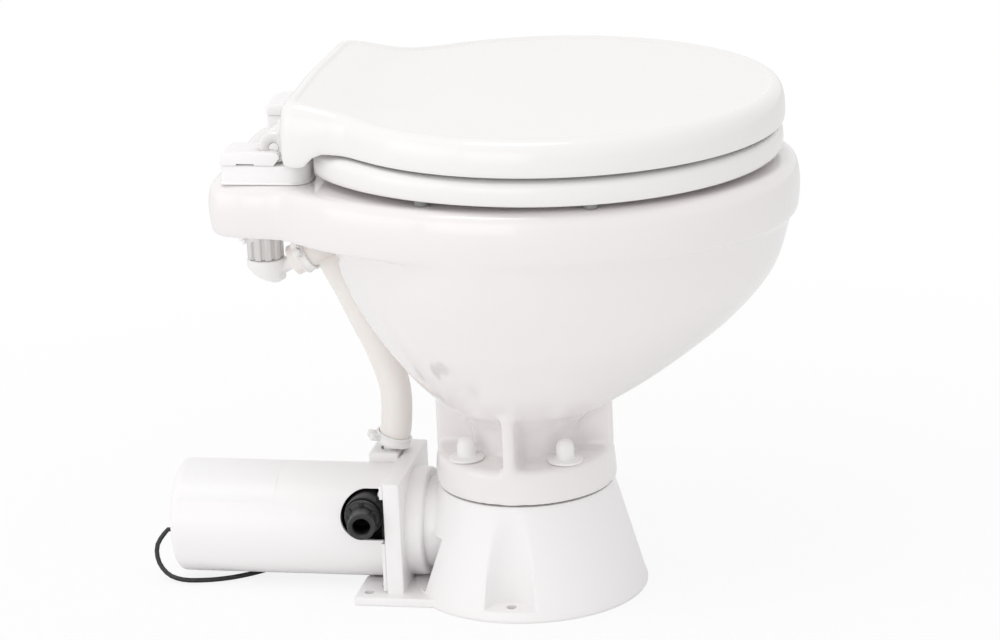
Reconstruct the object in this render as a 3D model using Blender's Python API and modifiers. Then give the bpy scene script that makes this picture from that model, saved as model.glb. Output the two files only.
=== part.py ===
# Electric marine toilet: ceramic bowl on a moulded base, with a macerator pump, its motor under a
# white cover, a hinged seat and a hinged lid. Metres, +Z up. The origin is the centre of the base
# cone on the floor, the front of the bowl points to -Y and the motor lies along +Y.
import bmesh
import bpy
import numpy as np
from math import atan2, cos, degrees, dist, hypot, pi, radians, sin
from mathutils import Matrix, Vector

# Clearances and the overrun that cuts share
GAP = 0.0003
RUN_GAP = 0.0005
OVERRUN = 0.004

# Base cone
CONE_BASE_R = 0.0980
CONE_TOP_R = 0.0735
CONE_FOOT_H = 0.0060
CONE_FOOT_R_LOSS = 0.0012
CONE_TOP_ROUND = 0.0018
WELL_R = 0.0300
WELL_FLOOR = 0.0160
THROAT_R = 0.0220
CORE_POCKET_IN_R = 0.0470
CORE_POCKET_OUT_R = 0.0710
CORE_TOP_WALL = 0.0080
CORE_POCKET_DEG = 32.0
SIDE_HOLE_X = 0.0850
SIDE_FLOOR = 0.0095
SCALLOP_R = 0.0210
SCALLOP_X = 0.0965
FLOOR_HOLE_R = 0.0042

# Bracket plate, foot plate and pump ring of the base
AXIS_Z = 0.0520
PLATE_Y = 0.0965
PLATE_T = 0.0140
PLATE_HALF_W = 0.0580
PLATE_TOP = 0.1035
PLATE_ROUND = 0.0050
FOOT_HALF_W = 0.0690
FOOT_REAR_Y = 0.1365
FOOT_T = 0.0075
FOOT_ROUND = 0.0040
FOOT_HOLE_X = 0.0555
FOOT_HOLE_Y = 0.1262
RING_R = 0.0455
RING_Y = 0.0765
RING_ROUND = 0.0040
THROAT_BOSS_R = 0.0355
THROAT_COVER = 0.0045
CHAMBER_R = 0.0370
CHAMBER_Y = 0.0805
WEB_T = 0.0060
WEB_H = 0.0150

# Seal and foot of the bowl
SEAL_T = 0.0009
SEAL_R = 0.0690
SEAL_HOLE_R = 0.0270
FLANGE_R = 0.0755
FLANGE_TOP_R = 0.0738
FLANGE_H = 0.0290
FLANGE_ROUND = 0.0030
NECK_R = 0.0425
OUTLET_R = 0.0210
RIB_T = 0.0100
RIB_REACH = 0.0737
RIB_H = 0.0490
BOLT_CIRCLE_R = 0.0585
BOLT_R = 0.0030
BOLT_HEAD_R = 0.0058
BOLT_HEAD_H = 0.0040
BOLT_NUT_H = 0.0050
BOLT_CLEAR = 0.0009
CAP_WASHER_R = 0.0148
CAP_WASHER_T = 0.0022
CAP_R = 0.0075
CAP_WALL = 0.0010
CAP_H = 0.0190

# Bowl
BOWL_TOP = 0.3700
BAND_H = 0.0445
BAND_OVERHANG = 0.0025
BOWL_CENTRE_Y = -0.0100
BAND_HALF_W = 0.1720
BAND_FRONT = 0.2237
BAND_REAR = 0.2300
BAND_BULGE = 0.0022
BAND_ROUND = 0.0090
SHELF_HALF_W = 0.1050
SHELF_REAR = 0.2470
BELLY_STEP = 0.0030
BELLY_FRONT = 0.2270
BELLY_REAR = 0.1530
BOWL_WALL = 0.0110
MOUTH_HALF_W = 0.1280
MOUTH_FRONT = 0.1780
MOUTH_REAR = 0.1080
MOUTH_ROUND = 0.0050
RIM_LIP_H = 0.0420
SPUD_Y = 0.2125
SPUD_BOSS_R = 0.0190
SPUD_BOSS_H = 0.0165
SPUD_HOLE_R = 0.0095
SPUD_HOLE_DEPTH = 0.0400

# Share of the belly's height, then of its front, rear and half width, bottom to top
BELLY_SHARES = (
    (0.105, 0.208, 0.300, 0.282), (0.165, 0.262, 0.368, 0.345), (0.213, 0.338, 0.453, 0.415),
    (0.320, 0.492, 0.584, 0.545), (0.461, 0.662, 0.719, 0.690), (0.599, 0.805, 0.826, 0.815),
    (0.780, 0.935, 0.934, 0.935), (1.000, 1.000, 1.000, 1.000),
)

# Seat
SEAT_BOTTOM = 0.3752
SEAT_T = 0.0232
SEAT_CENTRE_Y = -0.0300
SEAT_HALF_W = 0.1715
SEAT_FRONT = 0.1905
SEAT_REAR = 0.2060
SEAT_REAR_CUT = 0.1770
SEAT_HOLE_HALF_W = 0.1060
SEAT_HOLE_FRONT = 0.1420
SEAT_HOLE_REAR = 0.1150
SEAT_EDGE_ROUND = 0.0045
SEAT_HOLE_SLOPE = 0.0200
# Lid
LID_GAP = 0.0018
LID_H = 0.0296
LID_HALF_W = 0.1730
LID_FRONT = 0.1925
LID_REAR = 0.1900
LID_TAIL_HALF_W = 0.1110
LID_TAIL_REAR = 0.1980
LID_WALL = 0.0040
LID_CREST_IN = 0.0100
LID_PANEL_IN = 0.0300
LID_PANEL_SINK = 0.0016
LID_KICK = 0.0115
LID_KICK_START = 0.1100
LID_LOBE_DROP = 0.0115
LID_LOBE_START = 0.1660
LID_LOBE_END = 0.1800
LID_LOBE_W = 0.0135
LID_REAR_RISE = 0.0150

# Hinges, for one side
HINGE_Y = 0.1770
HINGE_Z = 0.3995
BARREL_R = 0.0125
PIN_R = 0.0040
KNUCKLE_IN = 0.0600
SEAT_KNUCKLE_W = 0.0085
BASE_KNUCKLE_W = 0.0100
LID_KNUCKLE_W = 0.0090
HINGE_IN = 0.0580
HINGE_OUT = 0.0960
HINGE_NOSE_Y = 0.1483
HINGE_REAR_Y = 0.2215
HINGE_BASE_H = 0.0157
HINGE_NOSE_R = 0.0150
HINGE_TAIL_R = 0.0040
HINGE_FOOT_RIM = 0.0010
HINGE_FOOT_H = 0.0020
COVER_Y = 0.1905
COVER_H = 0.0085
COVER_CHEEK_W = 0.0062
COVER_CHEEK_Y = 0.1765
COVER_CHEEK_H = 0.0112
COVER_CHEEK_LEAN = 0.0053
COVER_CHEEK_ROOT = 0.0080
COVER_SLOT_Y = 0.1925
COVER_SLOT_L = 0.0150
COVER_SLOT_H = 0.0012
COVER_SLOT_D = 0.0020
LUG_BACK = 0.0035
LUG_UP = 0.0225
LUG_ROOT = 0.0120
SEAT_ARM_ROOT = 0.0400
SEAT_ARM_T = 0.0105
HINGE_BOLT_X = 0.0770
HINGE_BOLT_Y = 0.2060
HINGE_BOLT_R = 0.0030
HINGE_BOLT_HEAD_R = 0.0065
HINGE_BOLT_HEAD_H = 0.0036
HINGE_BOLT_TAIL = 0.0080
SHELF_HOLE_R = 0.0050
WING_HUB_R = 0.0075
WING_HUB_H = 0.0065
WING_SPAN = 0.0300
WING_T = 0.0030
WING_H = 0.0052

# Share of the hinge cover's height, as inset and as height, bottom to top
COVER_DOME_SHARES = ((0, 0), (0, 0.42), (0.14, 0.68), (0.47, 0.90), (1, 1))

# Bumpers
BUMPER_R = 0.0060
SEAT_BUMPER_X_SHARE = 0.846
SEAT_BUMPER_FRONT_SHARE = 0.315
SEAT_BUMPER_REAR_SHARE = 0.364
LID_POST_X_SHARE = 0.520
LID_POST_Y_SHARE = 0.753
LID_POST_R = 0.0075

# Water inlet under the shelf and the rinse hose
SPUD_NUT_R = 0.0152
SPUD_NUT_H = 0.0280
SPUD_NUT_RIBS = 10
SPUD_NUT_RIB_R = 0.0016
SPIGOT_R = 0.0086
SPIGOT_UP = 0.0260
INLET_BORE_R = 0.0045
ELBOW_R = 0.0160
ELBOW_H = 0.0205
ELBOW_TURN_DROP = 0.0149
ELBOW_NECK_R = 0.0060
ELBOW_CUT = 0.0050
ELBOW_HOSE_START = 0.0270
ELBOW_OUT_L = 0.0360
ELBOW_TILT_DEG = 28.0
HOSE_R = 0.0130
HOSE_BORE_R = 0.0095
BARB_R = 0.0084
HOSE_ON_BARB = 0.0150
CLAMP_W = 0.0080
CLAMP_T = 0.0022
CLAMP_IN = 0.0010
CLAMP_TOP_IN = 0.0035
CLAMP_EAR = 0.0060
CLAMP_TOP_TURN_DEG = 150.0
CLAMP_BOTTOM_TURN_DEG = 120.0
# The hose between its straight ends
HOSE_ROUTE = (
    (0.0030, 0.1700, 0.2882), (0.0090, 0.1662, 0.2882), (0.0160, 0.1640, 0.2830), (0.0215, 0.1610, 0.2740),
    (0.0260, 0.1560, 0.2610), (0.0290, 0.1500, 0.2470), (0.0310, 0.1385, 0.2200), (0.0315, 0.1250, 0.1900),
    (0.0310, 0.1155, 0.1580), (0.0300, 0.1120, 0.1380),
)

# Pump and motor, in order along +Y
DISCHARGE_FLANGE_R = 0.0425
DISCHARGE_FLANGE_T = 0.0055
DISCHARGE_R = 0.0275
DISCHARGE_END = 0.1520
DISCHARGE_CAVITY_R = 0.0220
DISCHARGE_CAVITY_END = 0.1420
OUTLET_BOSS_Y = 0.1310
OUTLET_BOSS_Z = 0.0700
OUTLET_BOSS_R = 0.0168
OUTLET_BOSS_X = 0.0440
OUTLET_BOSS_ROOT = 0.0150
VALVE_R = 0.0122
VALVE_L = 0.0160
NOZZLE_YAW_DEG = 10.0
NOZZLE_FLANGE_R = 0.0150
NOZZLE_FLANGE_T = 0.0040
NOZZLE_R = 0.0106
NOZZLE_RING_R = 0.0116
NOZZLE_RING_L = 0.0050
NOZZLE_BORE_R = 0.0076
NOZZLE_L = 0.0240
SEAL_SEAT_R = 0.0093
SEAL_SEAT_L = 0.0080
SHAFT_SEAL_L = 0.0070
SHAFT_R = 0.0040
RINSE_R = 0.0300
RINSE_L = 0.0214
RINSE_CAVITY_R = 0.0245
RINSE_WALL = 0.0042
RINSE_PORT_X = 0.0270
RINSE_PORT_UP = 0.0210
RINSE_BOSS_R = 0.0090
RINSE_BOSS_L = 0.0120
RINSE_TUBE_R = 0.0066
RINSE_TUBE_BORE_R = 0.0045
RINSE_TUBE_TOP = (0.0290, 0.1205, 0.1095)
RINSE_BEND_BACK = 0.0050
INTAKE_Y = 0.1645
INTAKE_TIP_X = 0.0680
INTAKE_R = 0.0090
INTAKE_BORE_R = 0.0060
CAN_R = 0.0360
CAN_L = 0.0940
CAN_WALL = 0.0020
CAN_FRONT_T = 0.0040
BEARING_R = 0.0110
BEARING_L = 0.0070
BEARING_LIP = 0.0020
BEARING_BOSS_R = 0.0150
BELL_L = 0.0157
BELL_WALL = 0.0032
MAGNET_IN_R = 0.0273
MAGNET_START = 0.0160
MAGNET_L = 0.0600
ARMATURE_R = 0.0262
ARMATURE_START = 0.0210
ARMATURE_L = 0.0500
COMMUTATOR_R = 0.0120
COMMUTATOR_L = 0.0160
CUTTER_Y = 0.0845
CUTTER_T = 0.0040
CUTTER_REACH = 0.0340
CUTTER_BLADE_W = 0.0100
CUTTER_HUB_R = 0.0090
IMPELLER_Y = 0.0935
IMPELLER_T = 0.0025
IMPELLER_R = 0.0320
IMPELLER_VANES = 5
IMPELLER_VANE_H = 0.0100
IMPELLER_VANE_T = 0.0022
RINSE_IMPELLER_R = 0.0238
RINSE_IMPELLER_HUB_R = 0.0110
RINSE_IMPELLER_VANES = 6
RINSE_IMPELLER_VANE_T = 0.0020
RINSE_IMPELLER_L = 0.0130

# Motor cover
COVER_SHELL_R = 0.0475
COVER_SHELL_WALL = 0.0025
COVER_SHELL_END = 0.2980
COVER_SHELL_ROUND = 0.0060
FLANGE_PLATE_HALF_W = 0.0560
FLANGE_PLATE_BOTTOM = 0.0085
FLANGE_PLATE_TOP = 0.1010
FLANGE_PLATE_T = 0.0030
FLANGE_PLATE_ROUND = 0.0060
WINDOW_R = 0.0195
HUMP_HALF_W = 0.0150
HUMP_Y_END = 0.1380
HUMP_TOP = 0.1060
HUMP_LOW_UP = 0.0140
HUMP_ROUND = 0.0030
COVER_SCREW_X = 0.0495
COVER_SCREW_UP = 0.0395
SCREW_R = 0.0018
SCREW_HEAD_R = 0.0036
SCREW_HEAD_H = 0.0022
SCREW_L = 0.0110

# Cord
CORD_R = 0.0020
CORD_EXIT_Z = 0.0370
GROMMET_R = 0.0060
GROMMET_NECK_R = 0.0042
GROMMET_T = 0.0030
GROMMET_NOSE = 0.0060
COIL_X = 0.1050
COIL_Y = 0.2080
COIL_OUT_R = 0.0275
COIL_PITCH = 0.0046
COIL_LAYER = 0.0046
COIL_TURNS_A_LAYER = 2
COIL_LAYERS = 2
COIL_POINTS_A_TURN = 24
COIL_LEAST_GAP = 0.0004
CORD_FLOOR = 0.0001
CORD_TIP = 0.0050
BOOT_R = 0.0034
BOOT_L = 0.0140
LEAD_R = 0.0012
LEAD_L = 0.0450
LEAD_SPREAD = 0.0080
# The free stretch between its straight ends
LEAD_ROUTE = (
    (-0.0040, 0.3145, 0.0350), (-0.0110, 0.3195, 0.0270), (-0.0190, 0.3170, 0.0150),
    (-0.0250, 0.3075, 0.0060), (-0.0275, 0.2950, 0.0026), (-0.0270, 0.2800, 0.0022),
    (-0.0220, 0.2620, 0.0022), (-0.0120, 0.2450, 0.0022), (0.0030, 0.2290, 0.0022),
    (0.0220, 0.2160, 0.0022), (0.0420, 0.2045, 0.0022), (0.0620, 0.1950, 0.0022),
)

for old in list(bpy.data.objects):
    bpy.data.objects.remove(old, do_unlink=True)
parts = bpy.data.collections.new("electric_marine_toilet")
cutters = bpy.data.collections.new("cutters")
for group in (parts, cutters):
    bpy.context.scene.collection.children.link(group)


def finish(name, colour, roughness, metallic=0.0):
    """A plain Principled material."""
    made = bpy.data.materials.new(name)
    made.use_nodes = True
    shader = made.node_tree.nodes["Principled BSDF"]
    shader.inputs["Base Color"].default_value = (*colour, 1.0)
    shader.inputs["Roughness"].default_value = roughness
    shader.inputs["Metallic"].default_value = metallic
    return made


def add(name, mesh, tool=False, place=None):
    """Links a mesh or a curve as a part, or as a wire tool that shapes other parts."""
    made = bpy.data.objects.new(name, mesh)
    (cutters if tool else parts).objects.link(made)
    if place is not None:
        made.matrix_world = place
    if tool:
        made.hide_render = True
        made.display_type = "WIRE"
    return made


def along(origin, direction=(0, 0, 1)):
    """The placing that turns local +Z to a direction at an origin."""
    turn = Vector((0, 0, 1)).rotation_difference(Vector(direction).normalized())
    return Matrix.Translation(Vector(origin)) @ turn.to_matrix().to_4x4()


def mesh_of(name, bm, smooth_deg=35.0):
    bmesh.ops.recalc_face_normals(bm, faces=bm.faces)
    mesh = bpy.data.meshes.new(name)
    bm.to_mesh(mesh)
    bm.free()
    mesh.shade_smooth()
    mesh.set_sharp_from_angle(angle=radians(smooth_deg))
    return mesh


def box(name, low, high, tool=False, rounding=0.0, segments=2, edges="all"):
    """A box between two corners; its rounded edges are all of them, or those along one axis."""
    size = [b - a for a, b in zip(low, high)]
    middle = [(a + b) / 2 for a, b in zip(low, high)]
    bm = bmesh.new()
    bmesh.ops.create_cube(bm, size=1)
    bmesh.ops.scale(bm, vec=size, verts=bm.verts)
    if rounding and edges != "all":
        line = "XYZ".index(edges)
        chosen = [e for e in bm.edges if abs((e.verts[0].co - e.verts[1].co)[line]) > size[line] / 2]
        bmesh.ops.bevel(bm, geom=chosen, offset=rounding, segments=segments, profile=0.5, affect="EDGES")
    made = add(name, mesh_of(name, bm), tool, Matrix.Translation(middle))
    if rounding and edges == "all":
        bevel = made.modifiers.new("Rounded edges", "BEVEL")
        bevel.width = rounding
        bevel.segments = segments
    return made


def cylinder(name, start, end, radius, tool=False, sides=24, end_radius=None):
    start, end = Vector(start), Vector(end)
    bm = bmesh.new()
    bmesh.ops.create_cone(
        bm, cap_ends=True, segments=sides, radius1=radius,
        radius2=radius if end_radius is None else end_radius, depth=(end - start).length,
        matrix=Matrix.Rotation(pi / sides, 4, "Z"),
    )
    return add(name, mesh_of(name, bm), tool, along((start + end) / 2, end - start))


def turned(name, profile, steps, place=None, tool=False, ring=False):
    """A profile of (radius, height), listed down its outer side, turned round local Z."""
    edges = [(i, i + 1) for i in range(len(profile) - 1)]
    if ring:
        edges.append((len(profile) - 1, 0))
    mesh = bpy.data.meshes.new(name)
    mesh.from_pydata([(r, 0, z) for r, z in profile], edges, [])
    made = add(name, mesh, tool, place)
    screw = made.modifiers.new("Turned", "SCREW")
    screw.steps = screw.render_steps = steps
    screw.use_merge_vertices = True
    screw.merge_threshold = 0.00001
    screw.use_smooth_shade = True
    return made


def loft(name, rings, tool=False, closed=False, smooth_deg=35.0):
    """A skin through rings of equal count; a ring of one point closes an end as a fan."""
    bm = bmesh.new()
    rows = [[bm.verts.new(p) for p in ring] for ring in rings]
    pairs = list(zip(rows, rows[1:])) + ([(rows[-1], rows[0])] if closed else [])
    for low, high in pairs:
        count = max(len(low), len(high))
        for i in range(count):
            j = (i + 1) % count
            if len(low) == 1:
                bm.faces.new((low[0], high[j], high[i]))
            elif len(high) == 1:
                bm.faces.new((low[i], low[j], high[0]))
            else:
                bm.faces.new((low[i], low[j], high[j], high[i]))
    if not closed:
        for row in (rows[0], rows[-1]):
            if len(row) > 1:
                bm.faces.new(row)
    return add(name, mesh_of(name, bm, smooth_deg), tool)


def boolean(target, operation, *tools):
    for tool in tools:
        step = target.modifiers.new(tool.name, "BOOLEAN")
        step.operation = operation
        step.solver = "EXACT"
        step.object = tool
    return target


def cut(target, *tools):
    return boolean(target, "DIFFERENCE", *tools)


def fuse(target, *tools):
    return boolean(target, "UNION", *tools)


def smooth_route(points, spacing):
    """Evenly spaced points on a smooth curve through the given ones; both end stretches stay straight."""
    given = [Vector(p) for p in points]
    fine = []
    for a, b, c, d in zip(given, given[1:], given[2:], given[3:]):
        for t in np.linspace(0, 1, 24, endpoint=False):
            fine.append(0.5 * (2 * b + (c - a) * t + (2 * a - 5 * b + 4 * c - d) * t**2
                               + (3 * b - a - 3 * c + d) * t**3))
    fine.append(given[-2])
    steps = [0.0, *np.cumsum([(q - p).length for p, q in zip(fine, fine[1:])])]
    wanted = np.linspace(0, steps[-1], round(steps[-1] / spacing) + 1)
    middle = [Vector([np.interp(s, steps, [p[k] for p in fine]) for k in range(3)]) for s in wanted]
    return [given[0], *middle, given[-1]]


def tube(name, points, radius, resolution, tool=False, solid_mesh=False):
    """A round tube through points: a curve, or its welded mesh where it is cut or joined."""
    curve = bpy.data.curves.new(name, "CURVE")
    curve.dimensions = "3D"
    curve.bevel_depth = radius
    curve.bevel_resolution = resolution
    curve.use_fill_caps = True
    spline = curve.splines.new("POLY")
    spline.points.add(len(points) - 1)
    for knot, p in zip(spline.points, points):
        knot.co = (*p, 1)
    made = add(name, curve, tool)
    if not solid_mesh:
        return made
    bpy.context.view_layer.update()
    evaluated = made.evaluated_get(bpy.context.evaluated_depsgraph_get())
    mesh = bpy.data.meshes.new_from_object(evaluated)
    place = made.matrix_world.copy()
    bpy.data.objects.remove(made, do_unlink=True)
    bm = bmesh.new()
    bm.from_mesh(mesh)
    bmesh.ops.remove_doubles(bm, verts=bm.verts, dist=0.00001)
    bmesh.ops.recalc_face_normals(bm, faces=bm.faces)
    bm.to_mesh(mesh)
    bm.free()
    mesh.name = name
    return add(name, mesh, tool, place)


def paint(material, *objects):
    for made in objects:
        made.data.materials.clear()
        made.data.materials.append(material)


def egg(angle, wide, front, rear):
    """Reach of an egg outline from its centre; angle 0 looks to -Y."""
    ahead = cos(angle)
    return 1 / hypot(sin(angle) / wide, ahead / (front if ahead > 0 else rear))


def block(angle, wide, rear, power=12):
    """Reach of a squarish tail behind the centre."""
    back = max(0.0, -cos(angle))
    return ((abs(sin(angle)) / wide) ** power + (back / rear) ** power) ** (-1 / power) if back else 0.0


def widest(*reaches, power=40):
    """The outer one of two outlines, blended where they cross."""
    top = max(reaches)
    return top * sum((r / top) ** power for r in reaches) ** (1 / power)


def narrowest(*reaches, power=20):
    low = min(reaches)
    return low * sum((low / r) ** power for r in reaches) ** (-1 / power)


def round_points(reach, angles, centre_y, height):
    """Points of an outline; height is one value or a function of x and y."""
    ring = []
    for a in angles:
        r = reach(a)
        x, y = r * sin(a), centre_y - r * cos(a)
        ring.append((x, y, height(x, y) if callable(height) else height))
    return ring


def crowded_angles(reach, count, turn_share=0.55):
    """Angles round an outline, closer together where it turns."""
    fine = np.linspace(0, 2 * pi, 1441)
    spots = np.array([(reach(a) * sin(a), -reach(a) * cos(a)) for a in fine])
    steps = np.diff(spots, axis=0)
    lengths = np.hypot(steps[:, 0], steps[:, 1])
    headings = np.unwrap(np.arctan2(steps[:, 1], steps[:, 0]))
    turns = np.abs(np.diff(np.append(headings, headings[0] + 2 * pi)))
    weight = (1 - turn_share) * lengths / lengths.sum() + turn_share * turns / turns.sum()
    total = np.concatenate([[0], np.cumsum(weight)])
    half = np.interp(np.linspace(0, 0.5, count // 2 + 1), total / total[-1], fine)
    half[0], half[-1] = 0.0, pi
    return [*half, *(2 * pi - half[-2:0:-1])]


def ease(value, start, end):
    """0 before start, 1 after end, smooth between."""
    t = min(1.0, max(0.0, (value - start) / (end - start)))
    return t * t * (3 - 2 * t)


ceramic = finish("vitreous_china", (0.86, 0.85, 0.84), 0.12)
white = finish("white_moulding", (0.84, 0.84, 0.85), 0.32)
gloss = finish("gloss_white", (0.88, 0.88, 0.87), 0.18)
black = finish("black_plastic", (0.02, 0.02, 0.02), 0.38)
rubber = finish("black_rubber", (0.03, 0.03, 0.03), 0.70)
grey_rubber = finish("grey_rubber", (0.35, 0.35, 0.35), 0.65)
clear = finish("translucent_nylon", (0.86, 0.86, 0.84), 0.30)
vinyl = finish("rinse_vinyl", (0.88, 0.85, 0.83), 0.35)
steel = finish("stainless_steel", (0.62, 0.62, 0.63), 0.28, 1.0)
magnet = finish("ferrite", (0.08, 0.08, 0.09), 0.60)
copper = finish("copper_winding", (0.62, 0.30, 0.14), 0.35, 1.0)

CENTRE = (0, 0, 0)
CONE_H = AXIS_Z + THROAT_BOSS_R + THROAT_COVER
PLATE_REAR = PLATE_Y + PLATE_T
FLANGE_Z = CONE_H + GAP + SEAL_T + GAP
FLANGE_TOP = FLANGE_Z + FLANGE_H
DIAGONALS = [radians(45 + 90 * i) for i in range(4)]
BOLT_SPOTS = [(BOLT_CIRCLE_R * cos(a), BOLT_CIRCLE_R * sin(a)) for a in DIAGONALS]


def on_axis(y):
    """A placing whose local Z runs along the motor axis from a given y."""
    return along((0, y, AXIS_Z), (0, 1, 0))


def pedestal_base():
    """One moulding: cone, pump ring, bracket plate, foot plate, waste well and cored underside."""
    profile = [
        (0, CONE_H), (CONE_TOP_R - CONE_TOP_ROUND, CONE_H), (CONE_TOP_R, CONE_H - CONE_TOP_ROUND),
        (CONE_BASE_R - CONE_FOOT_R_LOSS, CONE_FOOT_H), (CONE_BASE_R, CONE_FOOT_H / 2),
        (CONE_BASE_R - CONE_FOOT_R_LOSS, 0), (0, 0),
    ]
    base = turned("pedestal_base", profile, 48)
    plate = box("plate_block", (-PLATE_HALF_W, PLATE_Y, 0), (PLATE_HALF_W, PLATE_REAR, PLATE_TOP),
                True, PLATE_ROUND, 3, "Y")
    foot = box("foot_block", (-FOOT_HALF_W, WELL_R, 0), (FOOT_HALF_W, FOOT_REAR_Y, FOOT_T),
               True, FOOT_ROUND, 3, "Z")
    ring_l = PLATE_Y + PLATE_T / 2 - RING_Y
    ring = turned("ring_block", [
        (0, ring_l), (RING_R, ring_l), (RING_R, RING_ROUND), (RING_R - RING_ROUND / 3, RING_ROUND / 3),
        (RING_R - RING_ROUND, 0), (0, 0)], 36, on_axis(RING_Y), True)
    throat = cylinder("throat_boss", (0, WELL_R / 2, AXIS_Z), (0, RING_Y + RING_ROUND / 2, AXIS_Z),
                      THROAT_BOSS_R, True, 28)
    web = box("web_block", (-WEB_T / 2, WELL_R, OVERRUN), (WEB_T / 2, PLATE_Y + RING_ROUND, WEB_H), True)
    fuse(base, throat, ring, plate, foot, web)
    chamber_l = PLATE_REAR + OVERRUN
    cut(base,
        cylinder("well_cut", (0, 0, WELL_FLOOR), (0, 0, CONE_H + OVERRUN), WELL_R, True, 24),
        cylinder("throat_cut", (0, 0, AXIS_Z), (0, CHAMBER_Y + OVERRUN, AXIS_Z), THROAT_R, True, 20),
        cylinder("chamber_cut", (0, CHAMBER_Y, AXIS_Z), (0, chamber_l, AXIS_Z), CHAMBER_R, True, 32))
    bed = COVER_SHELL_R + 2 * RUN_GAP
    arc = [(bed * sin(radians(t)), AXIS_Z - bed * cos(radians(t))) for t in range(-28, 29, 7)]
    cut(base, loft("cover_channel", [[(x, y, z) for x, z in arc]
                                     for y in (PLATE_REAR - GAP, FOOT_REAR_Y + OVERRUN)], True))
    for side in (-1, 1):
        x = side * SIDE_HOLE_X
        label = "near" if side < 0 else "far"
        cut(base,
            cylinder(f"scallop_{label}", (side * SCALLOP_X, 0, SIDE_FLOOR),
                     (side * SCALLOP_X, 0, CONE_H + OVERRUN), SCALLOP_R, True, 24),
            cylinder(f"side_hole_{label}", (x, 0, -OVERRUN), (x, 0, SIDE_FLOOR + OVERRUN),
                     FLOOR_HOLE_R, True, 12),
            cylinder(f"foot_hole_{label}", (side * FOOT_HOLE_X, FOOT_HOLE_Y, -OVERRUN),
                     (side * FOOT_HOLE_X, FOOT_HOLE_Y, FOOT_T + OVERRUN), FLOOR_HOLE_R, True, 12))
    for i, a in enumerate([*DIAGONALS, radians(270)]):
        half = radians(CORE_POCKET_DEG / 2)
        arc = [a - half + 2 * half * k / 3 for k in range(4)]
        flat = [(CORE_POCKET_OUT_R * cos(t), CORE_POCKET_OUT_R * sin(t)) for t in arc]
        flat += [(CORE_POCKET_IN_R * cos(t), CORE_POCKET_IN_R * sin(t)) for t in reversed(arc)]
        rings = [[(x, y, z) for x, y in flat] for z in (-OVERRUN, CONE_H - CORE_TOP_WALL)]
        cut(base, loft(f"core_pocket_{i + 1}", rings, True))
    for i, (x, y) in enumerate(BOLT_SPOTS):
        cut(base, cylinder(f"base_bolt_hole_{i + 1}", (x, y, CONE_H - CORE_TOP_WALL - OVERRUN),
                           (x, y, CONE_H + OVERRUN), BOLT_R + BOLT_CLEAR, True, 10))
    for i, (x, z) in enumerate(COVER_SCREW_SPOTS):
        cut(base, cylinder(f"screw_hole_{i + 1}", (x, PLATE_REAR + OVERRUN, z),
                           (x, PLATE_REAR - SCREW_L, z), SCREW_R + GAP, True, 8))
    paint(white, base)


COVER_SCREW_SPOTS = [(sx * COVER_SCREW_X, AXIS_Z + sz * COVER_SCREW_UP) for sx in (-1, 1) for sz in (-1, 1)]


def bowl_seal():
    z = CONE_H + GAP
    seal = turned("bowl_seal", [(SEAL_R, z + SEAL_T), (SEAL_R, z), (SEAL_HOLE_R, z),
                                (SEAL_HOLE_R, z + SEAL_T)], 24, ring=True)
    for i, (x, y) in enumerate(BOLT_SPOTS):
        cut(seal, cylinder(f"seal_hole_{i + 1}", (x, y, z - OVERRUN), (x, y, z + OVERRUN),
                           BOLT_R + BOLT_CLEAR, True, 8))
    paint(rubber, seal)


def belly_rings(inset, angles):
    """Egg sections of the belly from the neck up, drawn in by a wall where it is the inside."""
    height = BOWL_TOP - BAND_H - FLANGE_TOP
    rings = []
    for up, front, rear, wide in BELLY_SHARES:
        reaches = ((BAND_HALF_W - BELLY_STEP) * wide - inset, BELLY_FRONT * front - inset, BELLY_REAR * rear - inset)
        rings.append(round_points(lambda a: egg(a, *reaches), angles, 0, FLANGE_TOP + height * up))
    return rings


def band_reach(inset):
    return lambda a: widest(
        egg(a, BAND_HALF_W - inset, BAND_FRONT - inset, BAND_REAR - inset),
        block(a, SHELF_HALF_W - inset, SHELF_REAR - inset))


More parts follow.
